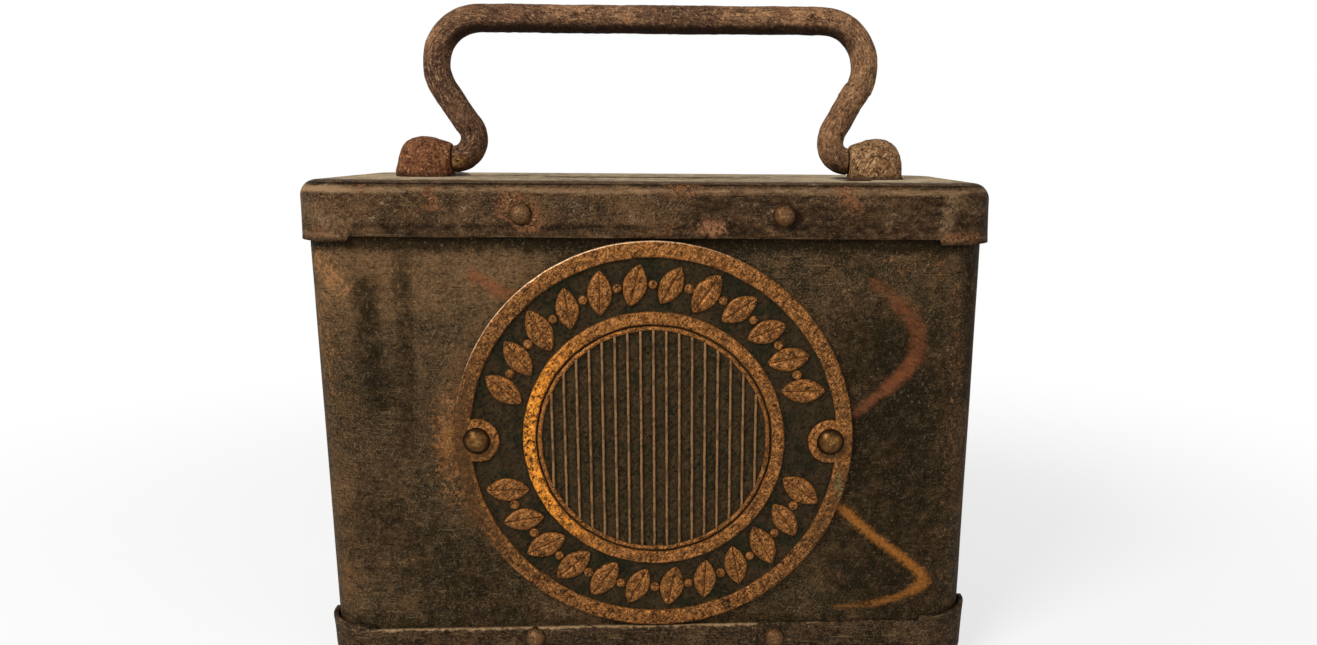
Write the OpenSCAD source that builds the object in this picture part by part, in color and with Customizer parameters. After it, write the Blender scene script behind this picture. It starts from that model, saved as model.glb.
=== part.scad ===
// Sheet-steel coin bank with a folding handle, a riveted medallion and a locked trapdoor.
// The origin is the middle of the underside, the front faces -Y, and sizes are millimetres.

/* [Box] */
// Width over the lid and base skirts
bank_w = 108; // [100:1:130]
// Depth over the lid and base skirts
bank_d = 51; // [50:1:64]
// Height from the table to the lid's top
bank_h = 80; // [74:1:110]
// Thickness of the sheet steel
sheet_t = 0.8; // [0.6:0.1:1]
// Height of the skirts of the lid and the base, along the straight sides
skirt_h = 8.2; // [7.4:0.1:10]
// Extra height of the skirts at the four corners
corner_drop = 0.8; // [0.4:0.1:1.2]
// Corner radius in plan
corner_r = 9; // [7:0.5:11]
// Radius of the pressed edge between a skirt and its flat
edge_r = 2.5; // [1.8:0.1:3]
// Gap between the body sheet and the skirts around it
skirt_gap = 0.1; // [0.05:0.05:0.3]
// Width of the lapped seam at the back of the body
seam_lap = 9; // [8:0.5:14]

/* [Rivets] */
// Distance between the two rivets along a skirt
skirt_rivet_gap = 39.6; // [30:0.2:60]
// How far the front's rivets and medallion lie to the right of the box's middle
front_shift = 1.2; // [0:0.1:3]
// From the lid skirt's edge up to its rivets
lid_rivet_in = 3.5; // [2.5:0.1:4.5]
// From the base skirt's edge down to its rivets
base_rivet_in = 2.1; // [1.9:0.1:4]
// Radius of the skirt rivets' shanks
rivet_r = 0.9; // [0.7:0.1:1.1]
// Radius of the skirt rivets' heads
rivet_head_r = 1.75; // [1.4:0.05:2.2]
// Height of the skirt rivets' heads
rivet_head_h = 1.0; // [0.6:0.1:1.3]
// Play between a rivet's shank and its hole, on the radius
rivet_play = 0.05; // [0.02:0.01:0.1]

/* [Medallion] */
// Gap between the medallion's rim and the skirts above and below it
medallion_gap = 0.35; // [0.2:0.05:2]
// Thickness of the medallion's ground
ground_t = 0.5; // [0.4:0.1:0.8]
// Height of the medallion's relief over its ground
relief_h = 0.6; // [0.3:0.1:0.9]
// Width of the outer ring
outer_ring_w = 2.5; // [1.5:0.1:3.5]
// Outer radius of the inner ring
inner_ring_r = 20.6; // [19:0.1:22]
// Width of the inner ring
inner_ring_w = 1.9; // [1.2:0.1:2.5]
// Width of the fine bead inside the inner ring
bead_w = 0.6; // [0.4:0.1:0.9]
// Width of the groove between the inner ring and the bead
groove_w = 0.4; // [0.3:0.1:0.6]
// Distance between the upright ribs of the field
rib_pitch = 2.0; // [1.6:0.1:3]
// Width of a rib
rib_w = 0.6; // [0.4:0.1:0.8]
// Number of leaves that would go round the band
leaf_count = 28; // [20:2:32]
// Length of a leaf
leaf_len = 5.6; // [4:0.1:6]
// Width of a leaf
leaf_w = 2.3; // [1.6:0.1:2.8]
// Slant of a leaf from the radius
leaf_tilt = 20; // [0:5:35]
// Distance from the medallion's middle to each of its rivets
badge_rivet_x = 27.9; // [27:0.1:28.4]
// Radius of the pads under the medallion's rivets
badge_pad_r = 3.5; // [3:0.1:4]
// Radius of the medallion rivets' heads
badge_head_r = 2.1; // [1.8:0.1:2.6]

/* [Handle] */
// Diameter of the handle's rod
rod_d = 4.6; // [3.6:0.1:4.8]
// From the middle of an ear in to the rod's centre line at its widest place
handle_in = 2.7; // [1.8:0.1:3.6]
// From the pivot up to the centre line of the bar
handle_rise = 22.9; // [21.5:0.1:24.5]
// Height of the pivot over the lid
pivot_h = 2.9; // [2.7:0.1:3.4]
// Radius of the bends at the ends of the bar
bar_bend_r = 7.5; // [6:0.1:8]
// Radius of the bends at the feet of the legs
foot_bend_r = 3.5; // [3:0.1:4]
// From the box's side in to the middle of an ear
ear_in = 15.4; // [14:0.1:17]
// Radius of an ear's dome
ear_r = 4.7; // [4.2:0.1:5.2]
// Height of the straight wall under the dome
ear_wall_h = 2.2; // [1.8:0.1:2.6]
// Radius of the handle's turned-down ends
pin_r = 1.5; // [1.2:0.05:1.7]
// Running play of the handle's ends in the ears, on the radius
pin_play = 0.06; // [0.02:0.01:0.1]
// Radius of an ear's shank through the lid
ear_shank_r = 1.8; // [1.4:0.1:2.2]
// Length of the plate under an ear, front to back
ear_plate_d = 22; // [20:1:26]
// Width of the plate under an ear
ear_plate_w = 12; // [11:0.5:14]
// From the ear to the small rivet that stops its plate turning, sideways
stop_rivet_x = 3.9; // [3.6:0.1:4.2]
// From the ear to the same rivet, front to back
stop_rivet_y = 8; // [7.5:0.1:9]
// Height of the stop rivets' low heads
stop_head_h = 0.25; // [0.15:0.05:0.3]
// Radius of the stop rivets' low heads
stop_head_r = 2.2; // [1.6:0.1:2.4]

/* [Coin slot] */
// Length of the coin slot
slot_len = 34; // [30:0.5:40]
// Width of the coin slot
slot_w = 3.2; // [2.6:0.1:3.8]
// Length of the chute's plate
chute_plate_w = 50; // [48:1:54]
// Width of the chute's plate
chute_plate_d = 17; // [15:1:20]
// Depth of the chute's walls under the lid
chute_h = 12; // [8:1:16]
// Gap between the chute's walls at their lower edge
chute_mouth = 2.6; // [2.4:0.1:3]
// Thickness of the chute's sheet
chute_t = 0.6; // [0.5:0.1:0.8]

/* [Trapdoor] */
// Width of the trapdoor
door_w = 60; // [54:1:66]
// From the hinge's axis to the trapdoor's front edge
door_reach = 28.5; // [27:0.5:29]
// From the hinge's axis to the middle of the box, front to back
hinge_y = 13; // [12.5:0.1:13.4]
// Height of the hinge's axis over the table
hinge_z = 2.0; // [2:0.1:2.4]
// Gap between the trapdoor and the opening around it
door_gap = 0.4; // [0.35:0.05:0.6]
// Overlap of the frame's ledge over the trapdoor
ledge_w = 1.5; // [1:0.1:2]
// Width of the frame beyond its opening at the sides
frame_side_w = 5.5; // [5:0.1:6]
// Width of the frame in front of its opening and behind it
frame_end_w = 5.4; // [5:0.1:5.6]
// Length of the hinge
hinge_len = 40; // [35:1:46]
// Number of knuckles
knuckle_count = 5; // [3:2:7]
// Radius of the hinge's knuckles
knuckle_r = 1.3; // [1.2:0.05:1.3]
// Radius of the hinge's pin
hinge_pin_r = 0.6; // [0.5:0.05:0.7]
// Play of the hinge's pin in the knuckles, on the radius
hinge_play = 0.05; // [0.02:0.01:0.1]
// Thickness of the hinge's leaves
leaf_t = 0.6; // [0.5:0.05:0.6]
// Depth of a hinge leaf on the sheet that it is riveted to
leaf_d = 5; // [4:0.1:5]

/* [Lock] */
// Width of the lock case, without its flanges
case_w = 20; // [17:0.5:24]
// Depth of the lock case, front to back
case_d = 14; // [13:0.5:15]
// Height of the lock case over its plate
case_h = 4.6; // [4.4:0.1:4.8]
// Thickness of the lock's sheet
case_t = 0.6; // [0.5:0.1:0.7]
// Width of each of the case's flanges
flange_w = 4; // [3.6:0.1:4.5]
// Width of the bolt
bolt_w = 8; // [7:0.5:9]
// Length of the bolt
bolt_len = 11; // [9.8:0.1:11.8]
// Thickness of the bolt
bolt_t = 1.8; // [1.5:0.1:1.8]
// Travel of the bolt
bolt_travel = 3; // [2.5:0.1:3]
// From the bolt's middle to the key hub's axis, sideways
hub_x = 2.5; // [2:0.1:2.8]
// From the lock case's front to the key hub's axis
hub_in = 6.2; // [6:0.1:6.6]
// Radius of the key hub's journal
hub_r = 1.9; // [1.7:0.1:2]
// Radius of the pin on the hub that drives the bolt
drive_r = 0.7; // [0.6:0.05:0.8]
// Gap between the parts of the lock that move past each other
lock_gap = 0.4; // [0.3:0.05:0.4]

/* [Hidden] */
$fn = 48;
eps = 0.01;

// Body sheet inside the skirts
body_w = bank_w - 2 * (sheet_t + skirt_gap);
body_d = bank_d - 2 * (sheet_t + skirt_gap);
body_r = corner_r - sheet_t - skirt_gap;
body_z0 = edge_r;
body_h = bank_h - 2 * edge_r;
inner_d = body_d - 2 * sheet_t;
seam_z_gap = body_h / 4;

// Heights, grips and inside heads of the rivets
lid_rivet_z = bank_h - skirt_h + lid_rivet_in;
base_rivet_z = skirt_h - base_rivet_in;
skirt_grip = 2 * sheet_t + skirt_gap;
tail_r = rivet_r + 0.5;
tail_h = 0.6;
flush_r = 0.8;
low_head_h = 0.5;
low_head_r = 1.4;

// Medallion, fitted between the skirts
front_h = bank_h - 2 * skirt_h;
medallion_r = front_h / 2 - medallion_gap;
medallion_z = bank_h / 2;
band_r = (medallion_r - outer_ring_w + inner_ring_r) / 2;
bead_r = inner_ring_r - inner_ring_w - groove_w;
field_r = bead_r - bead_w;
rib_h = relief_h - 0.1;
rib_count = 2 * floor((field_r - rib_w) / rib_pitch);
rivet_pad_angle = 13;
berry_r = 0.75;

// Handle
rod_r = rod_d / 2;
part_gap = 0.3;
ear_x = bank_w / 2 - ear_in;
foot_x = ear_x - ear_r - part_gap;
foot_z = foot_bend_r;
bend_x = ear_x - handle_in - bar_bend_r;
bend_z = handle_rise - bar_bend_r;
leg_run = foot_x - bend_x;
leg_drop = bend_z - foot_z;
leg_lean = asin((bar_bend_r + foot_bend_r) / norm([leg_run, leg_drop])) - atan2(leg_run, leg_drop);
leg_top = [bend_x + bar_bend_r * cos(leg_lean), bend_z - bar_bend_r * sin(leg_lean)];
leg_foot = [foot_x - foot_bend_r * cos(leg_lean), foot_z + foot_bend_r * sin(leg_lean)];
pin_end_x = ear_x + pin_r + 0.6;
ear_plate_t = sheet_t;

// The bends are drawn a hair thinner than the straight rod, which laps into them
bend_thinning = 0.02;
rod_lap = 0.1;

// Coin chute
chute_rivet_x = (slot_len + chute_plate_w) / 4;
chute_wall_top = slot_w / 2 + chute_t;

// Trapdoor, its opening and its frame
door_front = hinge_y - door_reach;
knuckle_gap = 0.3;
door_back = hinge_y - knuckle_r - knuckle_gap;
hole_front = door_front - door_gap;
hole_back = hinge_y + hinge_z + door_gap;
hole_w = door_w + 2 * door_gap;
frame_z = sheet_t;
frame_t = sheet_t;
frame_w = door_w - 2 * ledge_w;
frame_front = door_front + ledge_w;
frame_top = frame_z + frame_t;
frame_outer_w = frame_w + 2 * frame_side_w;
knuckle_len = (hinge_len - (knuckle_count - 1) * knuckle_gap) / knuckle_count;
leaf_rivet_x = hinge_len / 2 - 4;

// Lock, built up from the trapdoor's inside face
plate_z = sheet_t;
case_z = plate_z + case_t;
case_front = frame_front + 0.8;
case_back = case_front + case_d;
hub_y = case_front + hub_in;
hub_disk_t = 0.5;
hub_disk_r = drive_r + 2.5;
drive_arm = bolt_travel / sqrt(2);
strike_t = 0.6;
bolt_z = frame_top + strike_t + part_gap;
drive_top = bolt_z + bolt_t - 0.1;
key_r = 1.0;
key_slot_w = 0.9;
key_slot_d = 2.1;

// Rectangle with round corners
module rounded_rect(w, d, r) {
    square([w - 2 * r, d], center = true);
    square([w, d - 2 * r], center = true);
    for (sx = [-1, 1], sy = [-1, 1])
        translate([sx * (w / 2 - r), sy * (d / 2 - r)]) circle(r);
}

// Section of a wall from the corner's centre outwards, with its top edge rounded
module edge_section(r, h, e) {
    square([r, h - e]);
    square([r - e, h]);
    translate([r - e, h - e]) circle(e);
}

// Solid box with round corners and a rounded top edge, standing on z = 0
module pressed_block(w, d, h, r, e) {
    for (k = [0 : 3]) {
        along = k % 2 == 0 ? w : d;
        across = k % 2 == 0 ? d : w;
        rotate(90 * k) {
            translate([along / 2 - r, across / 2 - r, 0])
                rotate_extrude(angle = 90) edge_section(r, h, e);
            translate([along / 2 - r, 0, 0]) rotate([90, 0, 0])
                linear_extrude(across - 2 * r, center = true) edge_section(r, h, e);
        }
    }
    translate([0, 0, h / 2]) cube([w - 2 * r + eps, d - 2 * r + eps, h], center = true);
}

// Pressed cap, its flat at z = 0 and its skirt hanging down, longer at the corners
module pressed_cap() {
    h = skirt_h + corner_drop;
    translate([0, 0, -h]) difference() {
        pressed_block(bank_w, bank_d, h, corner_r, edge_r);
        translate([0, 0, -sheet_t]) pressed_block(bank_w - 2 * sheet_t, bank_d - 2 * sheet_t,
            h, corner_r - sheet_t, edge_r - sheet_t);
        cube([bank_w - 2 * corner_r, bank_d + 1, 2 * corner_drop], center = true);
        cube([bank_w + 1, bank_d - 2 * corner_r, 2 * corner_drop], center = true);
    }
}

// Half section of a dome of radius r and height h
module dome_section(r, h) {
    ball = (r * r + h * h) / (2 * h);
    intersection() {
        translate([0, h - ball]) circle(ball);
        square([r, h]);
    }
}

// Rivet with a domed head on z = 0, its shank going down through the grip to an inside head
module rivet(grip, head_r, head_h, shank_r = rivet_r, inside_r = tail_r, inside_h = tail_h) {
    rotate_extrude() {
        dome_section(head_r, head_h);
        translate([0, -grip - inside_h]) square([shank_r, grip + inside_h]);
        translate([0, -grip - inside_h]) square([inside_r, inside_h]);
    }
}

// Rivet flush with z = 0, its shank going up through the grip to a low head
module flush_rivet(grip) {
    rotate_extrude() {
        square([flush_r, grip]);
        translate([0, grip]) dome_section(low_head_r, low_head_h);
    }
}

// Places children on the front and back faces, pointing outwards, at the skirt rivets' places
module on_faces(face_y, z) {
    for (sx = [-1, 1]) {
        translate([front_shift + sx * skirt_rivet_gap / 2, -face_y, z]) rotate([90, 0, 0]) children();
        translate([sx * skirt_rivet_gap / 2, face_y, z]) rotate([-90, 0, 0]) children();
    }
}

// Places children at the medallion's rivets, pointing outwards from the face at depth y
module at_badge_rivets(y) {
    for (sx = [-1, 1])
        translate([front_shift + sx * badge_rivet_x, y, medallion_z]) rotate([90, 0, 0]) children();
}

// Places children at the seam's rivets, pointing outwards
module at_seam_rivets() {
    for (k = [-1 : 1])
        translate([0, body_d / 2, bank_h / 2 + k * seam_z_gap]) rotate([-90, 0, 0]) children();
}

// Hole for a shank of radius r, through everything within 4 mm of z = 0
module shank_hole(r) {
    cylinder(r = r + rivet_play, h = 8, center = true);
}

module body_shell() {
    color([0.20, 0.17, 0.13]) difference() {
        union() {
            translate([0, 0, body_z0]) linear_extrude(body_h) difference() {
                rounded_rect(body_w, body_d, body_r);
                rounded_rect(body_w - 2 * sheet_t, inner_d, body_r - sheet_t);
                translate([seam_lap / 2, body_d / 2]) square([0.3, 3 * sheet_t], center = true);
            }
            translate([0, inner_d / 2 - sheet_t / 2, bank_h / 2])
                cube([2 * seam_lap, sheet_t, body_h], center = true);
        }
        on_faces(body_d / 2, lid_rivet_z) shank_hole(rivet_r);
        on_faces(body_d / 2, base_rivet_z) shank_hole(rivet_r);
        at_badge_rivets(-body_d / 2) shank_hole(rivet_r);
        at_seam_rivets() shank_hole(rivet_r);
    }
}

module seam_rivets() {
    color([0.24, 0.19, 0.14])
        at_seam_rivets() rivet(2 * sheet_t, rivet_head_r, rivet_head_h);
}

module lid_cap() {
    color([0.25, 0.20, 0.15]) difference() {
        translate([0, 0, bank_h]) pressed_cap();
        on_faces(bank_d / 2, lid_rivet_z) shank_hole(rivet_r);
        translate([0, 0, bank_h]) cube([slot_len, slot_w, 4 * sheet_t], center = true);
        for (sx = [-1, 1]) translate([sx * ear_x, 0, bank_h]) shank_hole(ear_shank_r);
        at_stop_rivets() shank_hole(rivet_r);
        at_chute_rivets() shank_hole(flush_r);
    }
}

module lid_rivets() {
    color([0.33, 0.27, 0.20])
        on_faces(bank_d / 2, lid_rivet_z) rivet(skirt_grip, rivet_head_r, rivet_head_h);
}

module base_pan() {
    color([0.20, 0.17, 0.13]) difference() {
        rotate([180, 0, 0]) pressed_cap();
        on_faces(bank_d / 2, base_rivet_z) shank_hole(rivet_r);
        translate([-hole_w / 2, hole_front, -1]) cube([hole_w, hole_back - hole_front, 3]);
        at_frame_rivets() shank_hole(flush_r);
        at_base_leaf_rivets() shank_hole(flush_r);
    }
}

module base_rivets() {
    color([0.30, 0.25, 0.19])
        on_faces(bank_d / 2, base_rivet_z) rivet(skirt_grip, rivet_head_r, rivet_head_h);
}

// Pointed leaf, its length along Y
module leaf(len, w) {
    r = (len * len + w * w) / (4 * w);
    intersection() {
        translate([r - w / 2, 0]) circle(r);
        translate([w / 2 - r, 0]) circle(r);
    }
}

// Angle between a direction and the nearer of the two rivet pads
function from_pad(a) = abs((a + 90) % 180 - 90);

// Relief of the medallion: rings, pads, a wreath of leaves and berries, and the ribbed field
module medallion_relief() {
    difference() {
        circle(medallion_r);
        circle(medallion_r - outer_ring_w);
    }
    difference() {
        circle(inner_ring_r);
        circle(inner_ring_r - inner_ring_w);
    }
    difference() {
        circle(bead_r);
        circle(field_r);
    }
    for (sx = [-1, 1]) translate([sx * badge_rivet_x, 0]) circle(badge_pad_r);
    for (k = [0 : leaf_count - 1]) {
        a = (k + 0.5) * 360 / leaf_count;
        if (from_pad(a) > rivet_pad_angle)
            rotate(a) translate([band_r, 0]) rotate(90 - leaf_tilt) leaf(leaf_len, leaf_w);
        b = k * 360 / leaf_count;
        if (from_pad(b) > rivet_pad_angle)
            rotate(b) translate([band_r, 0]) circle(berry_r);
    }
}

module medallion_ribs() {
    intersection() {
        circle(field_r);
        for (k = [0 : rib_count])
            translate([(k - rib_count / 2) * rib_pitch, 0])
                square([rib_w, 2 * field_r], center = true);
    }
}

module medallion() {
    color([0.66, 0.42, 0.20]) translate([front_shift, -body_d / 2, medallion_z]) rotate([90, 0, 0])
        difference() {
            union() {
                cylinder(r = medallion_r, h = ground_t);
                linear_extrude(ground_t + relief_h) medallion_relief();
                linear_extrude(ground_t + rib_h) medallion_ribs();
            }
            for (sx = [-1, 1]) translate([sx * badge_rivet_x, 0, 0]) shank_hole(rivet_r);
        }
}

module medallion_rivets() {
    grip = ground_t + relief_h + sheet_t;
    color([0.42, 0.30, 0.19]) at_badge_rivets(-body_d / 2 - ground_t - relief_h)
        rivet(grip, badge_head_r, rivet_head_h + 0.2);
}

// Right ear: a dome on the lid, its shank riveted over through the ear's plate, and a blind bore
module ear() {
    shank = sheet_t + ear_plate_t + tail_h;
    difference() {
        translate([ear_x, 0, bank_h]) rotate_extrude() {
            square([ear_r, ear_wall_h]);
            translate([0, ear_wall_h]) dome_section(ear_r, ear_r);
            translate([0, -shank]) square([ear_shank_r, shank]);
            translate([0, -shank]) square([ear_shank_r + 0.9, tail_h]);
        }
        translate([foot_x, 0, bank_h + pivot_h]) rotate([0, 90, 0])
            cylinder(r = pin_r + pin_play, h = pin_end_x + part_gap - foot_x);
    }
}

module ear_left() {
    color([0.48, 0.30, 0.20]) mirror([1, 0, 0]) ear();
}

module ear_right() {
    color([0.52, 0.38, 0.27]) ear();
}

// Places children at the stop rivets: in front of the right ear and behind the left one
module at_stop_rivets() {
    for (s = [-1, 1])
        translate([s * (ear_x - stop_rivet_x), -s * stop_rivet_y, bank_h]) children();
}

module ear_plates() {
    color([0.35, 0.30, 0.25]) difference() {
        for (s = [-1, 1]) translate([s * ear_x, 0, bank_h - sheet_t - ear_plate_t / 2])
            cube([ear_plate_w, ear_plate_d, ear_plate_t], center = true);
        for (s = [-1, 1]) translate([s * ear_x, 0, bank_h]) shank_hole(ear_shank_r);
        at_stop_rivets() shank_hole(rivet_r);
    }
}

module stop_rivets() {
    color([0.22, 0.18, 0.14])
        at_stop_rivets() rivet(sheet_t + ear_plate_t, stop_head_r, stop_head_h);
}

// Stretch of a bend about (x, z), from one angle to another, seen from the front
module rod_bend(x, z, r, from, to) {
    translate([x, 0, z]) rotate([90, 0, 0]) rotate(from)
        rotate_extrude(angle = to - from) translate([r, 0]) circle(rod_r - bend_thinning);
}

// Right leg of the handle, from the end of the bar to the pin in the ear, its pivot on z = 0
module handle_leg() {
    rod_bend(bend_x, bend_z, bar_bend_r, -leg_lean, 90);
    translate([leg_foot[0], 0, leg_foot[1]]) rotate([0, leg_lean, 0])
        translate([0, 0, -rod_lap]) cylinder(r = rod_r, h = norm(leg_top - leg_foot) + 2 * rod_lap);
    rod_bend(foot_x, foot_z, foot_bend_r, 180 - leg_lean, 270);
    translate([foot_x - rod_lap, 0, 0]) rotate([0, 90, 0])
        cylinder(r = pin_r, h = pin_end_x - foot_x + rod_lap);
}

module handle() {
    color([0.38, 0.27, 0.20]) translate([0, 0, bank_h + pivot_h]) {
        translate([0, 0, handle_rise]) rotate([0, 90, 0])
            cylinder(r = rod_r, h = 2 * (bend_x + rod_lap), center = true);
        handle_leg();
        mirror([1, 0, 0]) handle_leg();
    }
}

// Places children at the chute's rivets
module at_chute_rivets() {
    for (sx = [-1, 1], sy = [-1, 1])
        translate([sx * chute_rivet_x, sy * chute_plate_d / 4, bank_h]) children();
}

// Plate under the lid with the slot through it, and the two walls that lead coins down
module coin_chute() {
    wall_len = slot_len + 4;
    color([0.45, 0.43, 0.40]) translate([0, 0, bank_h - sheet_t]) difference() {
        union() {
            translate([0, 0, -chute_t / 2])
                cube([chute_plate_w, chute_plate_d, chute_t], center = true);
            for (sy = [0, 1]) mirror([0, sy, 0])
                rotate([90, 0, 90]) linear_extrude(wall_len, center = true) polygon([
                    [slot_w / 2, 0], [chute_wall_top, 0],
                    [chute_mouth / 2 + chute_t, -chute_h], [chute_mouth / 2, -chute_h]
                ]);
        }
        cube([slot_len, slot_w, 4 * chute_t], center = true);
        translate([0, 0, sheet_t - bank_h]) at_chute_rivets() shank_hole(flush_r);
    }
}

module chute_rivets() {
    color([0.35, 0.32, 0.28]) at_chute_rivets() mirror([0, 0, 1]) flush_rivet(sheet_t + chute_t);
}

// Places children at the frame's rivets, at the four corners of its flat
module at_frame_rivets() {
    for (sx = [-1, 1], y = [frame_front - frame_end_w / 2, hole_back + frame_end_w / 2])
        translate([sx * (frame_w + frame_side_w) / 2, y, 0]) children();
}

// Frame on the base's inside, its ledge lapping the trapdoor at the front and the sides
module door_frame() {
    front = frame_front - frame_end_w;
    back = hole_back + frame_end_w;
    color([0.30, 0.27, 0.23]) difference() {
        translate([-frame_outer_w / 2, front, frame_z]) cube([frame_outer_w, back - front, frame_t]);
        translate([-frame_w / 2, frame_front, 0]) cube([frame_w, hole_back - frame_front, 4]);
        at_frame_rivets() shank_hole(flush_r);
        at_base_leaf_rivets() shank_hole(flush_r);
    }
}

module frame_rivets() {
    color([0.30, 0.27, 0.23]) at_frame_rivets() flush_rivet(sheet_t + frame_t);
}

// Plate on the ledge that the bolt slides over
module strike_plate() {
    w = bolt_w + 6;
    d = 4;
    color([0.42, 0.40, 0.37]) translate([-w / 2, frame_front - d, frame_top]) cube([w, d, strike_t]);
}

// Places children along the hinge's axis, from the given knuckle by steps of two
module at_knuckles(first) {
    for (k = [first : 2 : knuckle_count - 1])
        translate([k * (knuckle_len + knuckle_gap) - hinge_len / 2, hinge_y, hinge_z]) children();
}

// Knuckle with a web towards its leaf; the web's far edge is at y, its underside at z
module knuckle(y, z) {
    translate([0, min(y, 0), z]) cube([knuckle_len, abs(y), leaf_t]);
    rotate([0, 90, 0]) cylinder(r = knuckle_r, h = knuckle_len);
}

module hinge_bore() {
    translate([0, hinge_y, hinge_z]) rotate([0, 90, 0])
        cylinder(r = hinge_pin_r + hinge_play, h = hinge_len + 2, center = true);
}

// Places children at the rivets of the hinge leaf on the frame
module at_base_leaf_rivets() {
    for (sx = [-1, 1]) translate([sx * leaf_rivet_x, hole_back + leaf_d / 2, 0]) children();
}

// Places children at the rivets of the hinge leaf on the trapdoor
module at_door_leaf_rivets() {
    for (sx = [-1, 1]) translate([sx * leaf_rivet_x, door_back - leaf_d / 2, 0]) children();
}

module base_hinge_leaf() {
    color([0.36, 0.33, 0.28]) difference() {
        union() {
            translate([-hinge_len / 2, hole_back, frame_top]) cube([hinge_len, leaf_d, leaf_t]);
            at_knuckles(0) knuckle(hole_back - hinge_y + eps, frame_top - hinge_z);
        }
        hinge_bore();
        at_base_leaf_rivets() shank_hole(flush_r);
    }
}

module base_leaf_rivets() {
    color([0.36, 0.33, 0.28]) at_base_leaf_rivets() flush_rivet(sheet_t + frame_t + leaf_t);
}

// Pin of the hinge, its ends riveted over outside the last knuckles
module hinge_pin() {
    head_t = 0.4;
    color([0.55, 0.53, 0.50]) translate([0, hinge_y, hinge_z]) rotate([0, 90, 0]) {
        cylinder(r = hinge_pin_r, h = hinge_len + 2 * head_t, center = true);
        for (s = [-1, 1]) translate([0, 0, s * (hinge_len + head_t) / 2])
            cylinder(r = hinge_pin_r + 0.3, h = head_t, center = true);
    }
}

// Places children on the key hub's axis
module at_hub() {
    translate([-hub_x, hub_y, 0]) children();
}

// Keyhole: a round hole with a slot for the key's bit
module keyhole(play) {
    circle(key_r + play);
    translate([-key_slot_w / 2 - play, -key_slot_d - play]) square([key_slot_w + 2 * play, key_slot_d]);
}

// Places children at the lock's rivets
module at_lock_rivets() {
    for (sx = [-1, 1], y = [case_front + 2.5, case_back - 2.5])
        translate([sx * (case_w + flange_w) / 2, y, 0]) children();
}

module trapdoor() {
    color([0.22, 0.19, 0.15]) difference() {
        translate([-door_w / 2, door_front, 0]) cube([door_w, door_back - door_front, sheet_t]);
        at_door_leaf_rivets() shank_hole(flush_r);
        at_lock_rivets() shank_hole(flush_r);
        at_hub() translate([0, 0, -1]) linear_extrude(4) keyhole(0.2);
    }
}

module door_hinge_leaf() {
    color([0.36, 0.33, 0.28]) difference() {
        union() {
            translate([-hinge_len / 2, door_back - leaf_d, sheet_t]) cube([hinge_len, leaf_d, leaf_t]);
            at_knuckles(1) knuckle(door_back - hinge_y - eps, sheet_t - hinge_z);
        }
        hinge_bore();
        at_door_leaf_rivets() shank_hole(flush_r);
    }
}

module door_leaf_rivets() {
    color([0.36, 0.33, 0.28]) at_door_leaf_rivets() flush_rivet(sheet_t + leaf_t);
}

// Plate between the trapdoor and the lock case, with the bearing of the key hub
module lock_plate() {
    w = case_w + 2 * flange_w;
    color([0.50, 0.47, 0.42]) difference() {
        translate([-w / 2, case_front, plate_z]) cube([w, case_d, case_t]);
        at_hub() shank_hole(hub_r);
        at_lock_rivets() shank_hole(flush_r);
    }
}

// Pressed case over the lock, with a flange at each side and the bolt's mouth in its front
module lock_case() {
    w = case_w + 2 * flange_w;
    mouth_w = bolt_w + 2 * lock_gap;
    mouth_h = bolt_t + 2 * lock_gap;
    color([0.45, 0.40, 0.33]) difference() {
        union() {
            translate([-w / 2, case_front, case_z]) cube([w, case_d, case_t]);
            translate([-case_w / 2, case_front, case_z]) cube([case_w, case_d, case_h]);
        }
        translate([case_t - case_w / 2, case_front + case_t, case_z - 1])
            cube([case_w - 2 * case_t, case_d - 2 * case_t, case_h - case_t + 1]);
        translate([-mouth_w / 2, case_front - 1, bolt_z - lock_gap]) cube([mouth_w, case_t + 2, mouth_h]);
        at_lock_rivets() shank_hole(flush_r);
    }
}

module lock_rivets() {
    color([0.40, 0.36, 0.30]) at_lock_rivets() flush_rivet(sheet_t + 2 * case_t);
}

// Bowed leaf spring under the case's top, over the bolt
module detent_spring() {
    spring_w = 3;
    span = 9;
    leaf = 0.25;
    roof = case_z + case_h - case_t;
    sag = roof - bolt_z - bolt_t - part_gap;
    bow_r = (span * span / 4 + sag * sag) / (2 * sag);
    color([0.62, 0.60, 0.56]) translate([0, case_front + case_d / 2, roof - sag])
        rotate([90, 0, 90]) linear_extrude(spring_w, center = true) intersection() {
            translate([0, bow_r]) difference() {
                circle(bow_r);
                circle(bow_r - leaf);
            }
            translate([-span / 2, 0]) square([span, sag]);
        }
}

// Bolt with the cross slot that the hub's pin works in
module lock_bolt() {
    half = drive_r + lock_gap;
    slot_x0 = bolt_travel / 2 - hub_x - half;
    slot_x1 = drive_arm - hub_x + half;
    color([0.58, 0.50, 0.36]) translate([0, 0, bolt_z]) difference() {
        translate([-bolt_w / 2, case_front, 0]) cube([bolt_w, bolt_len, bolt_t]);
        translate([slot_x0, hub_y + bolt_travel / 2 - half, -1])
            cube([slot_x1 - slot_x0, 2 * half, bolt_t + 2]);
    }
}

// Hub that the key turns: a journal in the lock plate, a disk and a pin that drives the bolt
module key_hub() {
    color([0.66, 0.52, 0.30]) at_hub() difference() {
        union() {
            translate([0, 0, plate_z]) cylinder(r = hub_r, h = case_t + eps);
            translate([0, 0, case_z]) cylinder(r = hub_disk_r, h = hub_disk_t);
            translate([bolt_travel / 2, bolt_travel / 2, case_z])
                cylinder(r = drive_r, h = drive_top - case_z);
        }
        translate([0, 0, plate_z - 1]) linear_extrude(1 + case_t + hub_disk_t / 2) keyhole(0);
    }
}

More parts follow.
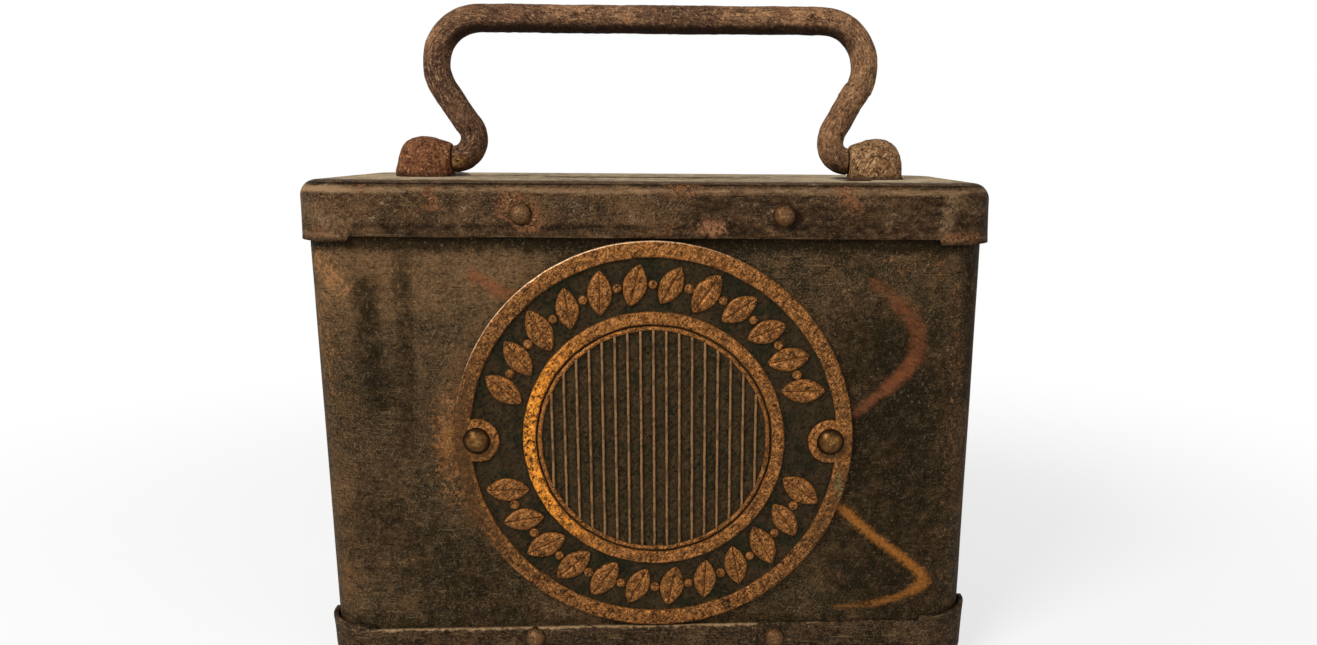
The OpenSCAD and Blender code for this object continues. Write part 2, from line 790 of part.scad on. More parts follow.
body_shell();
seam_rivets();
lid_cap();
lid_rivets();
base_pan();
base_rivets();
medallion();
medallion_rivets();
ear_left();
ear_right();
ear_plates();
stop_rivets();
handle();
coin_chute();
chute_rivets();
door_frame();
frame_rivets();
strike_plate();
base_hinge_leaf();
base_leaf_rivets();
hinge_pin();
trapdoor();
door_hinge_leaf();
door_leaf_rivets();
lock_plate();
lock_case();
lock_rivets();
detent_spring();
lock_bolt();
key_hub();
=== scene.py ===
import math

import bmesh
import bpy
from mathutils import Matrix, Vector, noise


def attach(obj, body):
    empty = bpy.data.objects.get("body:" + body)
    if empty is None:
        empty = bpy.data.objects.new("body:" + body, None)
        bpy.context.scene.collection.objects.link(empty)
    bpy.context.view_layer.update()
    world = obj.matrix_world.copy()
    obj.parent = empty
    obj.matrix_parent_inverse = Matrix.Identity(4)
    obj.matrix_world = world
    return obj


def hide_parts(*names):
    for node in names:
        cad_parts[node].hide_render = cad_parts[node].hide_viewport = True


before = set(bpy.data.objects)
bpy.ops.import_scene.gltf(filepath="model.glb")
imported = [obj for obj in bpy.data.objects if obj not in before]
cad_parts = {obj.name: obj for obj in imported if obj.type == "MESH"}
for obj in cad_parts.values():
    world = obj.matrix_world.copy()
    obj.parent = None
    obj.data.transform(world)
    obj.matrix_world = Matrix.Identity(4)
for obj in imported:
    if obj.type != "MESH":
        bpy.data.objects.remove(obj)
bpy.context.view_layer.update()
mm = 0.001

# The view: the camera stands close in front of the box and a little above its lid, where the
# lines of the photograph put it. It looks down, so the lower edge of the frame crops the base.
def put(name, data):
    """A new object in the scene that holds the data."""
    obj = bpy.data.objects.new(name, data)
    bpy.context.scene.collection.objects.link(obj)
    return obj


focal_px, frame_px = 1053.0, 1317.0
look_down, look_right, lean = (math.radians(a) for a in (13.744, 0.853, 0.407))
stands_at = Vector((7.5, -185.73, 85.93)) * mm
camera_data = bpy.data.cameras.new("camera")
camera_data.sensor_width = 36.0
camera_data.lens = camera_data.sensor_width * focal_px / frame_px
camera_data.shift_x, camera_data.shift_y = -0.0385, 0.0588
camera_data.clip_start = 5 * mm
camera = put("camera", camera_data)
camera.matrix_world = (
    Matrix.Translation(stands_at) @ Matrix.Rotation(-look_right, 4, "Z")
    @ Matrix.Rotation(math.pi / 2 - look_down, 4, "X") @ Matrix.Rotation(lean, 4, "Z"))
bpy.context.scene.camera = camera
bpy.context.scene.view_settings.view_transform = "Standard"

# The light: a soft box high at the front left, which lights the medallion's rim beside the
# highlight painted there, and a larger, weaker one at the right. All round is an even pale room,
# which the camera sees white.
for name, place, size, power in (("key_light", (-300, -380, 420), 240, 3.3),
                                 ("fill_light", (420, -420, 260), 400, 0.9)):
    lamp = bpy.data.lights.new(name, "AREA")
    lamp.size = size * mm
    lamp.energy = power
    holder = put(name, lamp)
    holder.location = Vector(place) * mm
    aim = Vector((0, 0, 50)) * mm - holder.location
    holder.rotation_euler = aim.to_track_quat("-Z", "Y").to_euler()


def add(tree, kind, *inputs, **settings):
    """One node: its settings, and its inputs in their order, or by name or number in a dict. An
    input is a plain value, the socket that feeds it, or a node, whose first output does."""
    node = tree.nodes.new(kind)
    for key, value in settings.items():
        setattr(node, key, value)
    by_key = {}
    for key, value in enumerate(inputs):
        by_key.update(value if isinstance(value, dict) else {key: value})
    for key, value in by_key.items():
        if isinstance(value, bpy.types.Node):
            value = value.outputs[0]
        if isinstance(value, bpy.types.NodeSocket):
            tree.links.new(value, node.inputs[key])
        else:
            node.inputs[key].default_value = value
    return node


def background_rays(tree):
    """The share of a ray that sees the studio as plain white: straight, mirrored or refracted."""
    rays = add(tree, "ShaderNodeLightPath").outputs
    share = rays["Is Camera Ray"]
    for kind in ("Is Glossy Ray", "Is Transmission Ray"):
        share = add(tree, "ShaderNodeMath", share, rays[kind], operation="MAXIMUM")
    return share


world = bpy.data.worlds.new("studio")
world.use_nodes = True
room = world.node_tree
room.nodes.clear()
strength = add(room, "ShaderNodeMapRange", background_rays(room), {"To Min": 0.33, "To Max": 1.0})
background = add(room, "ShaderNodeBackground", (1, 1, 1, 1), strength)
add(room, "ShaderNodeOutputWorld", background)
bpy.context.scene.world = world

# The table: a plain matt white board, seen as white as the room but for the soft shadow that
# the box casts close round itself.
table_r = 2.5
table_mesh = bmesh.new()
bmesh.ops.create_circle(table_mesh, cap_ends=True, segments=64, radius=table_r)
table_data = bpy.data.meshes.new("table")
table_mesh.to_mesh(table_data)
table_mesh.free()
table = put("table", table_data)
board = bpy.data.materials.new("matt_white_board")
board.use_nodes = True
tree = board.node_tree
tree.nodes.clear()
here = add(tree, "ShaderNodeTexCoord").outputs["Object"]
from_box = add(tree, "ShaderNodeVectorMath", here, operation="LENGTH").outputs["Value"]
far = add(tree, "ShaderNodeMapRange", from_box, {
    "From Min": 0.08, "From Max": 0.26, "To Min": 0.72, "To Max": 1.0},
    interpolation_type="SMOOTHSTEP")
whiteness = add(tree, "ShaderNodeMath", far, background_rays(tree), operation="MULTIPLY")
lit = add(tree, "ShaderNodeBsdfDiffuse", (0.86, 0.86, 0.86, 1))
white = add(tree, "ShaderNodeEmission", {"Strength": 1.0})
seen = add(tree, "ShaderNodeMixShader", whiteness, lit, white)
add(tree, "ShaderNodeOutputMaterial", seen)
table_data.materials.append(board)


# The body: one strip of sheet steel bent round four corners and lapped behind, where rivets
# close it. It is japanned, baked-on black varnish that age has worn to a mottled brown.
def linear(colour):
    """An sRGB colour, written #rrggbb, as the linear colour that a shader takes."""
    parts = [int(colour[i:i + 2], 16) / 255 for i in (1, 3, 5)]
    return [c / 12.92 if c <= 0.04045 else ((c + 0.055) / 1.055) ** 2.4 for c in parts] + [1.0]


def coat(tint, size, start, end, much=1, jagged=0.6, **more):
    """A layer of wear: its tint, the size of its patches in mm, the span of the pattern over which
    it comes in, up to much, and how jagged they are. It may be stretched and turned into fibres,
    lie on a bent piece's own straightened places, keep to a painted mask with an edge so ragged,
    change the roughness and metal, and rise by some mm or sink."""
    return dict(tint=tint, size=size, span=(start, end), much=much, jagged=jagged, **more)


def aged(name, base, rough, layers, metal=0.0, shine=0.3):
    """A worn metal finish: a base colour under layers of wear, each laid on by its own pattern."""
    material = bpy.data.materials.new(name)
    material.use_nodes = True
    tree = material.node_tree
    tree.nodes.clear()
    here = add(tree, "ShaderNodeTexCoord").outputs["Object"]
    colour, height, worn = linear(base), 0, {"rough": rough, "metal": metal}
    for number, layer in enumerate(layers, 1):
        size = layer["size"] * mm
        spot = here
        if "on" in layer:
            spot = add(tree, "ShaderNodeAttribute", attribute_name=layer["on"]).outputs["Vector"]
        place = add(tree, "ShaderNodeMapping", spot, {
            "Location": (0.113 * number, 0.071 * number, 0.053 * number),
            "Rotation": [math.radians(a) for a in layer.get("turn", (0, 0, 0))],
            "Scale": [size * s for s in layer.get("stretch", (1, 1, 1))]}, vector_type="TEXTURE")
        pattern = add(tree, "ShaderNodeTexNoise", place, {
            "Scale": 1.0, "Detail": 6.0, "Roughness": layer["jagged"]})
        start, end = layer["span"]
        if "where" in layer:
            mask_name, ragged = layer["where"]
            painted = add(tree, "ShaderNodeAttribute", attribute_name=mask_name)
            pattern = add(tree, "ShaderNodeMath", pattern, ragged, painted.outputs["Fac"],
                          operation="MULTIPLY_ADD")
            start, end = start + ragged / 2, end + ragged / 2
        cover = add(tree, "ShaderNodeMapRange", pattern, {
            "From Min": start, "From Max": end, "To Max": layer["much"]},
            interpolation_type="SMOOTHSTEP")
        colour = add(tree, "ShaderNodeMix", cover, {6: colour, 7: linear(layer["tint"])},
                     data_type="RGBA").outputs[2]
        for key in worn:
            if key in layer:
                worn[key] = add(tree, "ShaderNodeMix", cover, {2: worn[key], 3: layer[key]})
        if "rise" in layer:
            height = add(tree, "ShaderNodeMath", cover, layer["rise"], height,
                         operation="MULTIPLY_ADD")
    shader = add(tree, "ShaderNodeBsdfPrincipled", {
        "Base Color": colour, "Roughness": worn["rough"], "Metallic": worn["metal"],
        "Specular IOR Level": shine})
    if height:
        relief = add(tree, "ShaderNodeBump", {"Height": height, "Distance": mm})
        tree.links.new(relief.outputs[0], shader.inputs["Normal"])
    add(tree, "ShaderNodeOutputMaterial", shader)
    return material


def outline(w, d, r, front, start=0.0, finish=0.0):
    """Round a rectangle with round corners, anticlockwise from the back: each point's place, its
    outward direction, its place on a square of the same corners, and whether it is on a bend.
    front is the finer pitch of the front's points, in mm."""
    hx, hy = w / 2 - r, d / 2 - r
    side, lip, bend_steps = 1.8, 0.3, 10
    points = []

    def run(x0, y0, x1, y1, nx, ny, pitch):
        n = max(1, round(math.dist((x0, y0), (x1, y1)) / pitch))
        for k in range(n + 1):
            x, y = x0 + (x1 - x0) * k / n, y0 + (y1 - y0) * k / n
            points.append((x, y, nx, ny, nx or 2 * x / w, ny or 2 * y / d, 0))

    def bend(cx, cy, turn):
        for k in range(bend_steps + 1):
            way = turn + k * math.pi / 2 / bend_steps
            nx, ny = math.cos(way), math.sin(way)
            if abs(nx) >= abs(ny):
                u, v = 1, 2 * (hy + r * abs(ny / nx)) / d
            else:
                u, v = 2 * (hx + r * abs(nx / ny)) / w, 1
            points.append((cx + r * nx, cy + r * ny, nx, ny,
                           math.copysign(u, cx), math.copysign(v, cy), 1))

    run(start, d / 2, lip - hx, d / 2, 0, 1, side)
    bend(-hx, hy, math.pi / 2)
    run(-w / 2, hy - lip, -w / 2, lip - hy, -1, 0, side)
    bend(-hx, -hy, math.pi)
    run(lip - hx, -d / 2, hx - lip, -d / 2, 0, -1, front)
    bend(hx, -hy, 1.5 * math.pi)
    run(w / 2, lip - hy, w / 2, hy - lip, 1, 0, side)
    bend(hx, hy, 0)
    run(hx - lip, d / 2, finish, d / 2, 0, 1, side)
    return points


def uneven(x, y, z, size, depth, seed=0.0):
    """The slight waves of hand-worked metal, from 0 to depth, over lengths of about size."""
    return depth * (0.5 + 0.5 * noise.noise(Vector((x / size + seed, y / size, z / size))))


def skin(bm, rows, closed=True, flip=False):
    """Faces between rows of points that have the same number of points each."""
    verts = [[bm.verts.new(Vector(p) * mm) for p in row] for row in rows]
    count = len(rows[0])
    for low, high in zip(verts, verts[1:]):
        for k in range(count if closed else count - 1):
            ring = (low[k], low[(k + 1) % count], high[(k + 1) % count], high[k])
            bm.faces.new(ring[::-1] if flip else ring)
    return verts


def piece(name, bm, finish, sharp=35):
    """A mesh as an object at the origin, smooth but for its edges over the angle sharp."""
    mesh = bpy.data.meshes.new(name)
    bm.to_mesh(mesh)
    bm.free()
    mesh.materials.append(finish)
    mesh.shade_smooth()
    mesh.set_sharp_from_angle(angle=math.radians(sharp))
    return put(name, mesh)


def clamp(value):
    return min(1.0, max(0.0, value))


def bell(offset, width, power=2):
    return math.exp(-(offset / width) ** power)


def mask(obj, name, measure):
    """Paints a mask, 0 to 1, on a piece's vertices, from each one's place in mm and direction."""
    values = [clamp(measure(v.co / mm, v.normal)) for v in obj.data.vertices]
    obj.data.attributes.new(name, "FLOAT", "POINT").data.foreach_set("value", values)


def strokes(obj, facing=-0.4, **masks):
    """Paints masks seen from the front, on what faces that way. Each mark is the width over which
    it fades, its strength and the x, z points of its line."""
    def measure(place, normal, marks):
        if normal.y > facing:
            return 0.0
        spot = Vector((place.x, place.z))
        most = 0.0
        for width, strength, *line in marks:
            near = (spot - Vector(line[0])).length
            for a, b in zip(line, line[1:]):
                a, b = Vector(a), Vector(b)
                t = clamp((spot - a).dot(b - a) / (b - a).length_squared)
                near = min(near, (spot - a.lerp(b, t)).length)
            most = max(most, strength * (1 - (near / width) ** 2) if near < width else 0.0)
        return most

    for name, marks in masks.items():
        mask(obj, name, lambda p, n: measure(p, n, marks))


def keep(obj, modifier):
    """Keeps what a modifier makes of a piece as its plain mesh."""
    shape = obj.evaluated_get(bpy.context.evaluated_depsgraph_get())
    mesh = bpy.data.meshes.new_from_object(shape)
    obj.modifiers.remove(modifier)
    obj.data = mesh


def solidify(obj, thickness):
    """Gives a sheet its thickness, on the side away from its faces."""
    wall = obj.modifiers.new("wall", "SOLIDIFY")
    wall.thickness = thickness * mm
    wall.offset = -1
    keep(obj, wall)


sheet_t = 0.8
body_w, body_d, body_r = 106.2, 49.2, 8.1
body_low, body_high = 2.5, 77.5
seam_x, lap_to, lap_y = 4.35, -8.5, 23.75

# Japanned steel: thin varnish, dull brown-black, with fibre-fine scratches mostly along the
# sheet, greener clouds, pale rubbed specks and rust-orange stains where the varnish has gone.
japanned_steel = aged("japanned_steel_worn", "#402e1c", 0.7, [
    coat("#554029", 16, 0.44, 0.6, 0.7, 0.65),
    coat("#211d10", 10, 0.46, 0.57, 0.8, 0.7, rough=0.6),
    coat("#1a160b", 3.5, 0.51, 0.6, 0.65, 0.8),
    coat("#5f4a31", 2.2, 0.54, 0.62, 0.45, 0.85),
    # Painted light: the upper left and the left bend, which face the key light, are painted a
    # lighter warm brown.
    coat("#6d5034", 5, 0.2, 1, 0.75, 0.7, where=("warm", 1.2)),
    coat("#7d6344", 0.5, 0.55, 0.61, 0.45, 0.85, rise=0.015),
    coat("#0a0602", 0.42, 0.54, 0.6, 0.6, 0.85, rise=-0.04),
    coat("#8a7052", 0.25, 0.54, 0.59, 0.5, 0.8),
    coat("#7d6343", 0.2, 0.59, 0.66, 0.5, stretch=(16, 16, 1)),
    coat("#76603f", 0.2, 0.61, 0.67, 0.6, stretch=(1, 1, 14), turn=(0, 32, 0)),
    coat("#6f5837", 0.2, 0.62, 0.68, 0.55, stretch=(1, 1, 12), turn=(0, -48, 0)),
    coat("#0a0602", 0.22, 0.59, 0.64, 0.85, stretch=(12, 12, 1)),
    coat("#a88f6a", 0.17, 0.69, 0.73, 0.75, stretch=(30, 30, 1)),
    # Painted shade and shadow over real smudges: shadow under the lid's skirt, and shade down the
    # right side and the right bend. It also lays dirt smudges at the left, a dark line along the
    # joint above the base, and darker patches low down.
    coat("#151005", 2.2, 0.25, 0.95, 0.88, 0.8, where=("dark", 1.8)),
    coat("#85735c", 0.55, 0.57, 0.65, 0.5, 0.85),
    coat("#0b0804", 0.8, 0.54, 0.61, 0.5, 0.85),
    coat("#936740", 0.8, 0.5, 0.9, 0.85, 0.85, where=("tan", 4), rough=0.75),
    coat("#754a26", 0.8, 0.45, 1, 0.7, 0.85, where=("rust", 4), rough=0.85, rise=0.02),
    coat("#a0713f", 0.3, 0.8, 1.05, 0.7, 0.8, where=("rust", 3)),
    coat("#78462a", 0.5, 0.15, 1.1, 0.8, where=("smear", 1.4), stretch=(3, 1, 1), turn=(0, 30, 0),
         rough=0.7),
    coat("#9a6029", 0.5, 0.15, 1.05, 0.85, where=("streak", 1.3), rough=0.7),
    coat("#6e4326", 0.7, 0.64, 0.69, 0.8, 0.8, rough=0.85),
    coat("#b09a74", 0.3, 0.67, 0.71, 0.75, 0.8),
    coat("#0a0602", 0.24, 0.53, 0.58, 0.5, 0.8),
], shine=0.03)

columns = [p[:4] for p in outline(body_w, body_d, body_r, 0.8, seam_x, seam_x + 0.6)]
columns += [(4.5, 24.3, 0, 1), (4.0, 23.9, 0, 1)]  # here the lap steps in under the seam
columns += [(x, lap_y, 0, 1) for x in (3.4, 0.5, -2.5, -5.5, lap_to)]
row_count = 92
rows = []
for k in range(row_count + 1):
    z = body_low + (body_high - body_low) * k / row_count
    row = []
    for x, y, nx, ny in columns:
        dent = uneven(x, y, z, 26, 0.22) + uneven(x, y, z, 7, 0.06, 3.1)
        row.append((x - nx * dent, y - ny * dent, z))
    rows.append(row)
body_mesh = bmesh.new()
skin(body_mesh, rows, closed=False)
body = piece("body_sheet", body_mesh, japanned_steel)
solidify(body, sheet_t)

# Stains, smears, rust and rubbed tan are real marks. The warm marks are painted light on the upper
# left and the left bend. The dark marks are painted shadow under the lid and painted shade down
# the right, over real smudges.
strokes(body, smear=[
    (1.7, 0.6, (34.9, 65.3), (37, 63.8), (38.9, 62)),
    (2.2, 0.7, (38.9, 62), (41.2, 59.8), (42.5, 57.5), (42.2, 53.5)),
    (1.8, 0.9, (42.2, 53.5), (40.6, 51.2), (37.9, 48.4)), (1.3, 0.75, (37.9, 48.4), (33, 44.3)),
    (1.6, 0.85, (-26.3, 66), (-23.1, 63.9), (-19.9, 62.2)),
], streak=[
    (1.2, 0.95, (31.3, 28.6), (36.7, 23.8), (41.6, 20.1), (45.3, 17)),
    (1.6, 0.8, (45, 17.2), (45.6, 15.6), (43.8, 14.3)),
    (1.1, 0.7, (43.8, 14.3), (41, 12.9), (37.3, 11.9)), (0.9, 0.55, (37.3, 11.9), (31, 11.3)),
], warm=[
    (12, 0.75, (-46, 66), (-22, 67)), (11, 0.5, (-46, 58), (-34, 52)),
    (4, 0.35, (-49.5, 66), (-49.5, 30)), (6, 0.42, (-50.5, 32), (-48.5, 8)),
], rust=[
    (4.4, 0.55, (-28, 52), (-30.2, 45), (-30.6, 39.8), (-30.4, 33.2), (-27.6, 26.4)),
    (4.2, 0.6, (-31.6, 43.5), (-31.2, 34)), (3.6, 0.85, (-31, 41), (-31.6, 38)),
    (2.2, 0.62, (-49.6, 18), (-49.4, 13.4)), (5.5, 0.38, (-49, 60), (-48.8, 46.3)),
    (2.5, 0.5, (40, 67.5)), (4, 0.45, (45.9, 67.8)), (2.5, 0.4, (49, 63), (49.5, 50)),
    (3, 0.3, (-40, 12), (20, 10)),
], tan=[
    (3.4, 0.75, (-50, 67.8), (-47.6, 64.8)), (2, 0.6, (-47.6, 64.8), (-45.5, 63.6)),
    (3, 0.45, (-50.5, 62), (-50, 48)), (0.8, 1, (-38.8, 19.8)),
    (4, 0.62, (-30.6, 46), (-31.4, 40), (-30.2, 31)), (3.4, 0.3, (48.2, 66), (49.6, 12)),
    (2.6, 0.42, (45, 67.5), (38, 68.5)), (3, 0.3, (-50, 70), (-50.5, 10)),
    (9, 0.2, (-44, 68), (-30, 58)), (1, 0.6, (31, 64)),
], dark=[
    (3, 1, (-52, 71.4), (52, 71.4)), (12, 0.5, (40, 38), (38, 30)),
    (4, 0.75, (-43, 64), (-42, 46.3)), (2.6, 0.7, (-37.2, 68), (-37.6, 42)),
    (9, 0.4, (-40, 30), (-34, 20)), (6, 0.4, (44, 45), (47, 20)), (2.4, 0.6, (-52, 8), (52, 9.5)),
    (5, 0.4, (20, 12), (28, 16)), (19, 0.8, (38, 52), (39, 18)), (14, 0.65, (-42, 24), (-26, 12)),
    (6, 0.35, (-28, 14), (10, 10)), (4, 0.6, (34.5, 66), (30, 71)), (4, 0.5, (-38, 40), (-44, 33)),
    (1, 0.5, (-50, 66), (-50, 64.5)), (3.4, 0.8, (51, 71), (51.6, 46)),
    (2.6, 0.6, (51.6, 46), (51.6, 10)), (6, 0.5, (29, 18.6)),
])
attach(body, "box")
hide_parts("body_shell")


# The lid: a shallow pressed cap over the top of the body, its skirt left a little longer at the
# four corners. Its varnish has browned and dulled more than the body's, and dust lies on top.
def pressed_cap(name, finish, level, edge, hole, hole_y=0.0, rings=18, flip=False):
    """A cap of sheet steel. level turns a depth under the cap's flat into a height, and edge
    gives the depth of the skirt's edge from a point's x, y and whether it is on a bend. The
    flat has some rings of faces out to its hole, and flip turns them for a cap upside down."""
    cap_w, cap_d, cap_r, round_r = 108.0, 51.0, 9.0, 2.5
    flare, side_in = 0.35, 0.1
    plan = outline(cap_w, cap_d, cap_r, 0.9)[:-1]
    skirt_rows, arc_rows = 7, 12
    rows = []
    for k in range(skirt_rows + arc_rows + rings + 1):
        row = []
        for x, y, nx, ny, u, v, bent in plan:
            low = edge(x, y, bent)
            if k < skirt_rows:
                t = k / skirt_rows
                inset = -flare * (1 - t) ** 2 * abs(2 * nx * ny) * bent
                depth = low + (round_r - low) * t
            else:
                turn = min(1.0, (k - skirt_rows) / arc_rows) * math.pi / 2
                inset, depth = round_r * (1 - math.cos(turn)), round_r * (1 - math.sin(turn))
            if not bent:
                inset += side_in
            inset += uneven(x, y, depth, 14, 0.18, 1.7) + uneven(x, y, depth, 4, 0.05, 5.2)
            px, py = x - nx * inset, y - ny * inset
            if k > skirt_rows + arc_rows:
                t = (k - skirt_rows - arc_rows) / rings
                hx, hy = u * hole[0] / 2, hole_y + v * hole[1] / 2
                px, py = px + (hx - px) * t, py + (hy - py) * t
                depth = uneven(px, py, 0, 18, 0.14 * min(1.0, 4 * t, 4 * (1 - t)), 8.3)
            row.append((px, py, level(depth)))
        rows.append(row)
    bm = bmesh.new()
    skin(bm, rows, flip=flip)
    cap = piece(name, bm, finish)
    solidify(cap, sheet_t)
    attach(cap, "box")
    return cap


lid_top, skirt_h, corner_drop = 80.0, 8.2, 0.8
slot_size, opening_size, opening_y = (34.0, 3.2), (60.8, 31.3), -0.25
ear_x = 38.6
front_shift, skirt_rivet_x = 1.2, 19.8
front_rivets_x = front_shift - skirt_rivet_x, front_shift + skirt_rivet_x
lid_rivet_z, base_rivet_z = 75.3, 6.1

# Worn japanning over steel: browner than the body, with rubbed golden edges under a painted
# highlight, rust-red halos, orange-tan patches and a grey-tan dust on the flat, and painted shade
# along the skirt's edges, round the front rivets and at the right.
lid_steel = aged("japanned_lid_worn", "#432f1d", 0.68, [
    coat("#594029", 12, 0.44, 0.6, 0.7, 0.65),
    coat("#2c2014", 8, 0.47, 0.58, 0.75, 0.7),
    coat("#22180d", 3, 0.51, 0.6, 0.6, 0.8),
    coat("#705236", 2, 0.54, 0.62, 0.45, 0.85),
    coat("#82684a", 0.5, 0.55, 0.61, 0.45, 0.85, rise=0.015),
    coat("#0c0703", 0.42, 0.54, 0.6, 0.6, 0.85, rise=-0.04),
    coat("#9a7d5c", 0.25, 0.55, 0.6, 0.52, 0.8),
    coat("#0c0703", 0.24, 0.53, 0.58, 0.6, 0.8),
    coat("#84694a", 0.2, 0.6, 0.67, 0.45, stretch=(10, 10, 1)),
    coat("#7a6140", 0.2, 0.61, 0.67, 0.55, stretch=(1, 1, 10), turn=(0, 40, 0)),
    coat("#0c0703", 0.22, 0.6, 0.65, 0.7, stretch=(10, 10, 1)),
    # Rubbed golden edges, with a painted highlight along the top rounding and the lower lip.
    coat("#967656", 0.7, 0.2, 0.95, 0.75, 0.8, where=("edge", 1.8), stretch=(4, 4, 1), rough=0.5),
    coat("#c8b18e", 2.6, 0.2, 0.95, 0.92, 0.9, where=("dust", 3), rough=0.9),
    # Painted shade and shadow, laid where the dark mask below puts it.
    coat("#100a05", 0.9, 0.25, 0.8, 0.92, where=("dark", 1.1), stretch=(2, 2, 1)),
    coat("#7f6448", 0.6, 0.3, 0.9, 0.8, 0.75, where=("tan", 2)),
    coat("#7b5134", 0.9, 0.4, 0.8, 0.8, 0.85, where=("rust", 3.6), rough=0.85, rise=0.02),
    coat("#2c150c", 0.4, 0.7, 0.85, 0.8, 0.8, where=("rust", 3), rise=-0.03),
    coat("#bb8d63", 0.32, 0.85, 1.1, 0.85, 0.8, where=("rust", 3.2), rise=0.03),
    coat("#98694a", 0.5, 0.45, 0.9, 0.8, 0.85, where=("orange", 4), rough=0.8),
    coat("#744627", 0.6, 0.64, 0.69, 0.8, 0.8, rough=0.85),
    coat("#e2d0ae", 0.4, 0.95, 1.15, 0.6, 0.85, where=("dust", 3.2), rough=0.9),
    coat("#2c2216", 0.45, 1, 1.15, 0.6, 0.85, where=("dust", 3.2), rough=0.9),
], shine=0.03)


def lid_edge(x, y, bent):
    return skirt_h + corner_drop * bent + uneven(x, y, 0, 12, 0.16, 2.2) - 0.08


lid = pressed_cap("lid_cap_worn", lid_steel, lambda depth: lid_top - depth, lid_edge, slot_size)
# Rubbed edges, and a painted highlight on the top rounding and the lower lip, strongest at the
# left end.
mask(lid, "edge", lambda p, n: (
    (0.6 + 0.4 * (p.x < -44)) * bell(p.z - 78.8, 0.6) + 0.5 * bell(p.z - 71.9, 0.3)
    if abs(n.y) > 0.1 or abs(n.x) > 0.3 else 0.15))
mask(lid, "dust", lambda p, n: (n.z >= 0.8) * min(1.0, max(0.1, (p.y + 21) / 7)) * (
    0.6 + 0.35 * bell(math.hypot(abs(p.x) - ear_x, p.y), 9)
    + 0.3 * bell(math.hypot(p.x - ear_x, p.y + 4), 10) + 0.2 * bell(p.y - 20, 5)))
# Painted shade and shadow: a dark line where the flat turns down into the rounding, grime round
# each front rivet with painted shadow heaviest to the lower right, shade under the handle's right
# foot, along the skirt's lower edge, over the right half of the front and at the right end. Also a
# darker band across the front of the flat.
mask(lid, "dark", lambda p, n: max(
    0.3 * bell(p.y + 20.5, 3.2, 4) * (n.z > 0.8),
    0.9 * bell(p.z - 79.62, 0.16) * (n.y < -0.15),
    (n.y < -0.5) * max(bell(math.hypot(p.x - x, p.z - lid_rivet_z) - 2.05, 0.45) * (
        0.55 + 0.15 * (p.x - x - p.z + lid_rivet_z)) for x in front_rivets_x),
    0.85 * bell(p.x - 34, 2.4, 4) * bell(p.y - 1, 11, 4) * (n.z > 0.6),
    0.62 * bell(p.z - 73.2, 1) * (n.z < 0.3) * (abs(p.x) < 44),
    0.5 * (n.y < -0.3) * clamp((p.x + 1) / 10) * (p.z < 78.4),
    0.55 * (n.z < 0.5) * clamp((p.x - 47) / 3),
    0.8 * bell(p.z - 71.4, 0.5) * (n.z < 0.3)))
strokes(lid, rust=[
    (3.4, 0.9, (-20, 76.6), (-17.4, 74.6)), (1.9, 0.75, (-32.3, 78.4), (-31.8, 76.5)),
    (2.2, 0.7, (4.2, 79.3), (7, 79.2)), (2.4, 0.7, (30.2, 79), (31.6, 76.8)),
    (1.4, 0.5, (-50, 72.6), (-45, 72)), (1.6, 0.6, (-42.3, 78.6)),
    (1.2, 0.8, (45.5, 72), (51.5, 72)), (1.5, 0.45, (1, 73), (8, 73)), (2.4, 0.8, (10.2, 73.6)),
], tan=[
    (1.6, 0.7, (46, 78), (45.5, 73)), (2.5, 0.5, (48, 77.5), (51, 76)),
    (3.5, 0.5, (-52, 76), (-46, 74)), (2.5, 0.45, (28, 78), (34, 77.5)),
    (0.8, 0.6, (-44, 78.6), (-36, 78.6)),
], orange=[
    (1.7, 0.75, (9, 73.4), (11.4, 73.2)), (1.3, 0.5, (30.4, 79)), (1, 0.4, (-30.8, 76)),
])
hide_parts("lid_cap")

# The base: the same cap turned over, with the trapdoor's opening cut in it. Its skirt sits a
# little askew, higher to the right, and its corners stand off the body; its edge is worn bright.
base_steel = aged("japanned_base_worn", "#34271a", 0.68, [
    coat("#4a3826", 10, 0.46, 0.6, 0.75, 0.75),
    coat("#1b170c", 5, 0.48, 0.58, 0.75, 0.85),
    coat("#6e5538", 1.2, 0.55, 0.63, 0.5, 0.85),
    coat("#846848", 0.5, 0.56, 0.62, 0.55, 0.85, rise=0.015),
    coat("#0a0602", 0.42, 0.52, 0.58, 0.7, 0.85, rise=-0.04),
    coat("#96785a", 0.25, 0.55, 0.61, 0.5, 0.8),
    coat("#0a0602", 1.6, 0.5, 0.58, 0.65, 0.8),
    coat("#7b6142", 0.2, 0.59, 0.66, 0.6, stretch=(16, 16, 1)),
    coat("#9c7e5a", 0.8, 0.45, 0.9, 0.9, where=("edge", 1.6), rough=0.5),
    coat("#613a20", 1, 0.35, 0.9, 0.85, where=("rust", 1.4), rough=0.85, rise=0.02),
    coat("#744627", 0.7, 0.65, 0.7, 0.8, 0.75, rough=0.85),
], shine=0.03)

skirt_tilt = 0.9 / 45


def base_edge(x, y, bent):
    return skirt_h - 0.12 + skirt_tilt * x + corner_drop * bent + uneven(x, y, 0, 12, 0.16, 6.4)


base = pressed_cap("base_pan_worn", base_steel, lambda depth: depth, base_edge,
                   opening_size, opening_y, rings=9, flip=True)
mask(base, "edge", lambda p, n: (
    (0.8 - 0.35 * (p.x > 18) - 0.3 * (abs(p.x) > 46)) * bell(p.z - base_edge(p.x, p.y, 0), 0.18)
    + 0.5 * bell(p.z - 0.7, 0.6)))
mask(base, "rust", lambda p, n: (
    0.5 * (n.z < -0.6) + 0.35 * (n.y < -0.5) * (noise.noise(p / 9) > 0.1)))
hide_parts("base_pan")

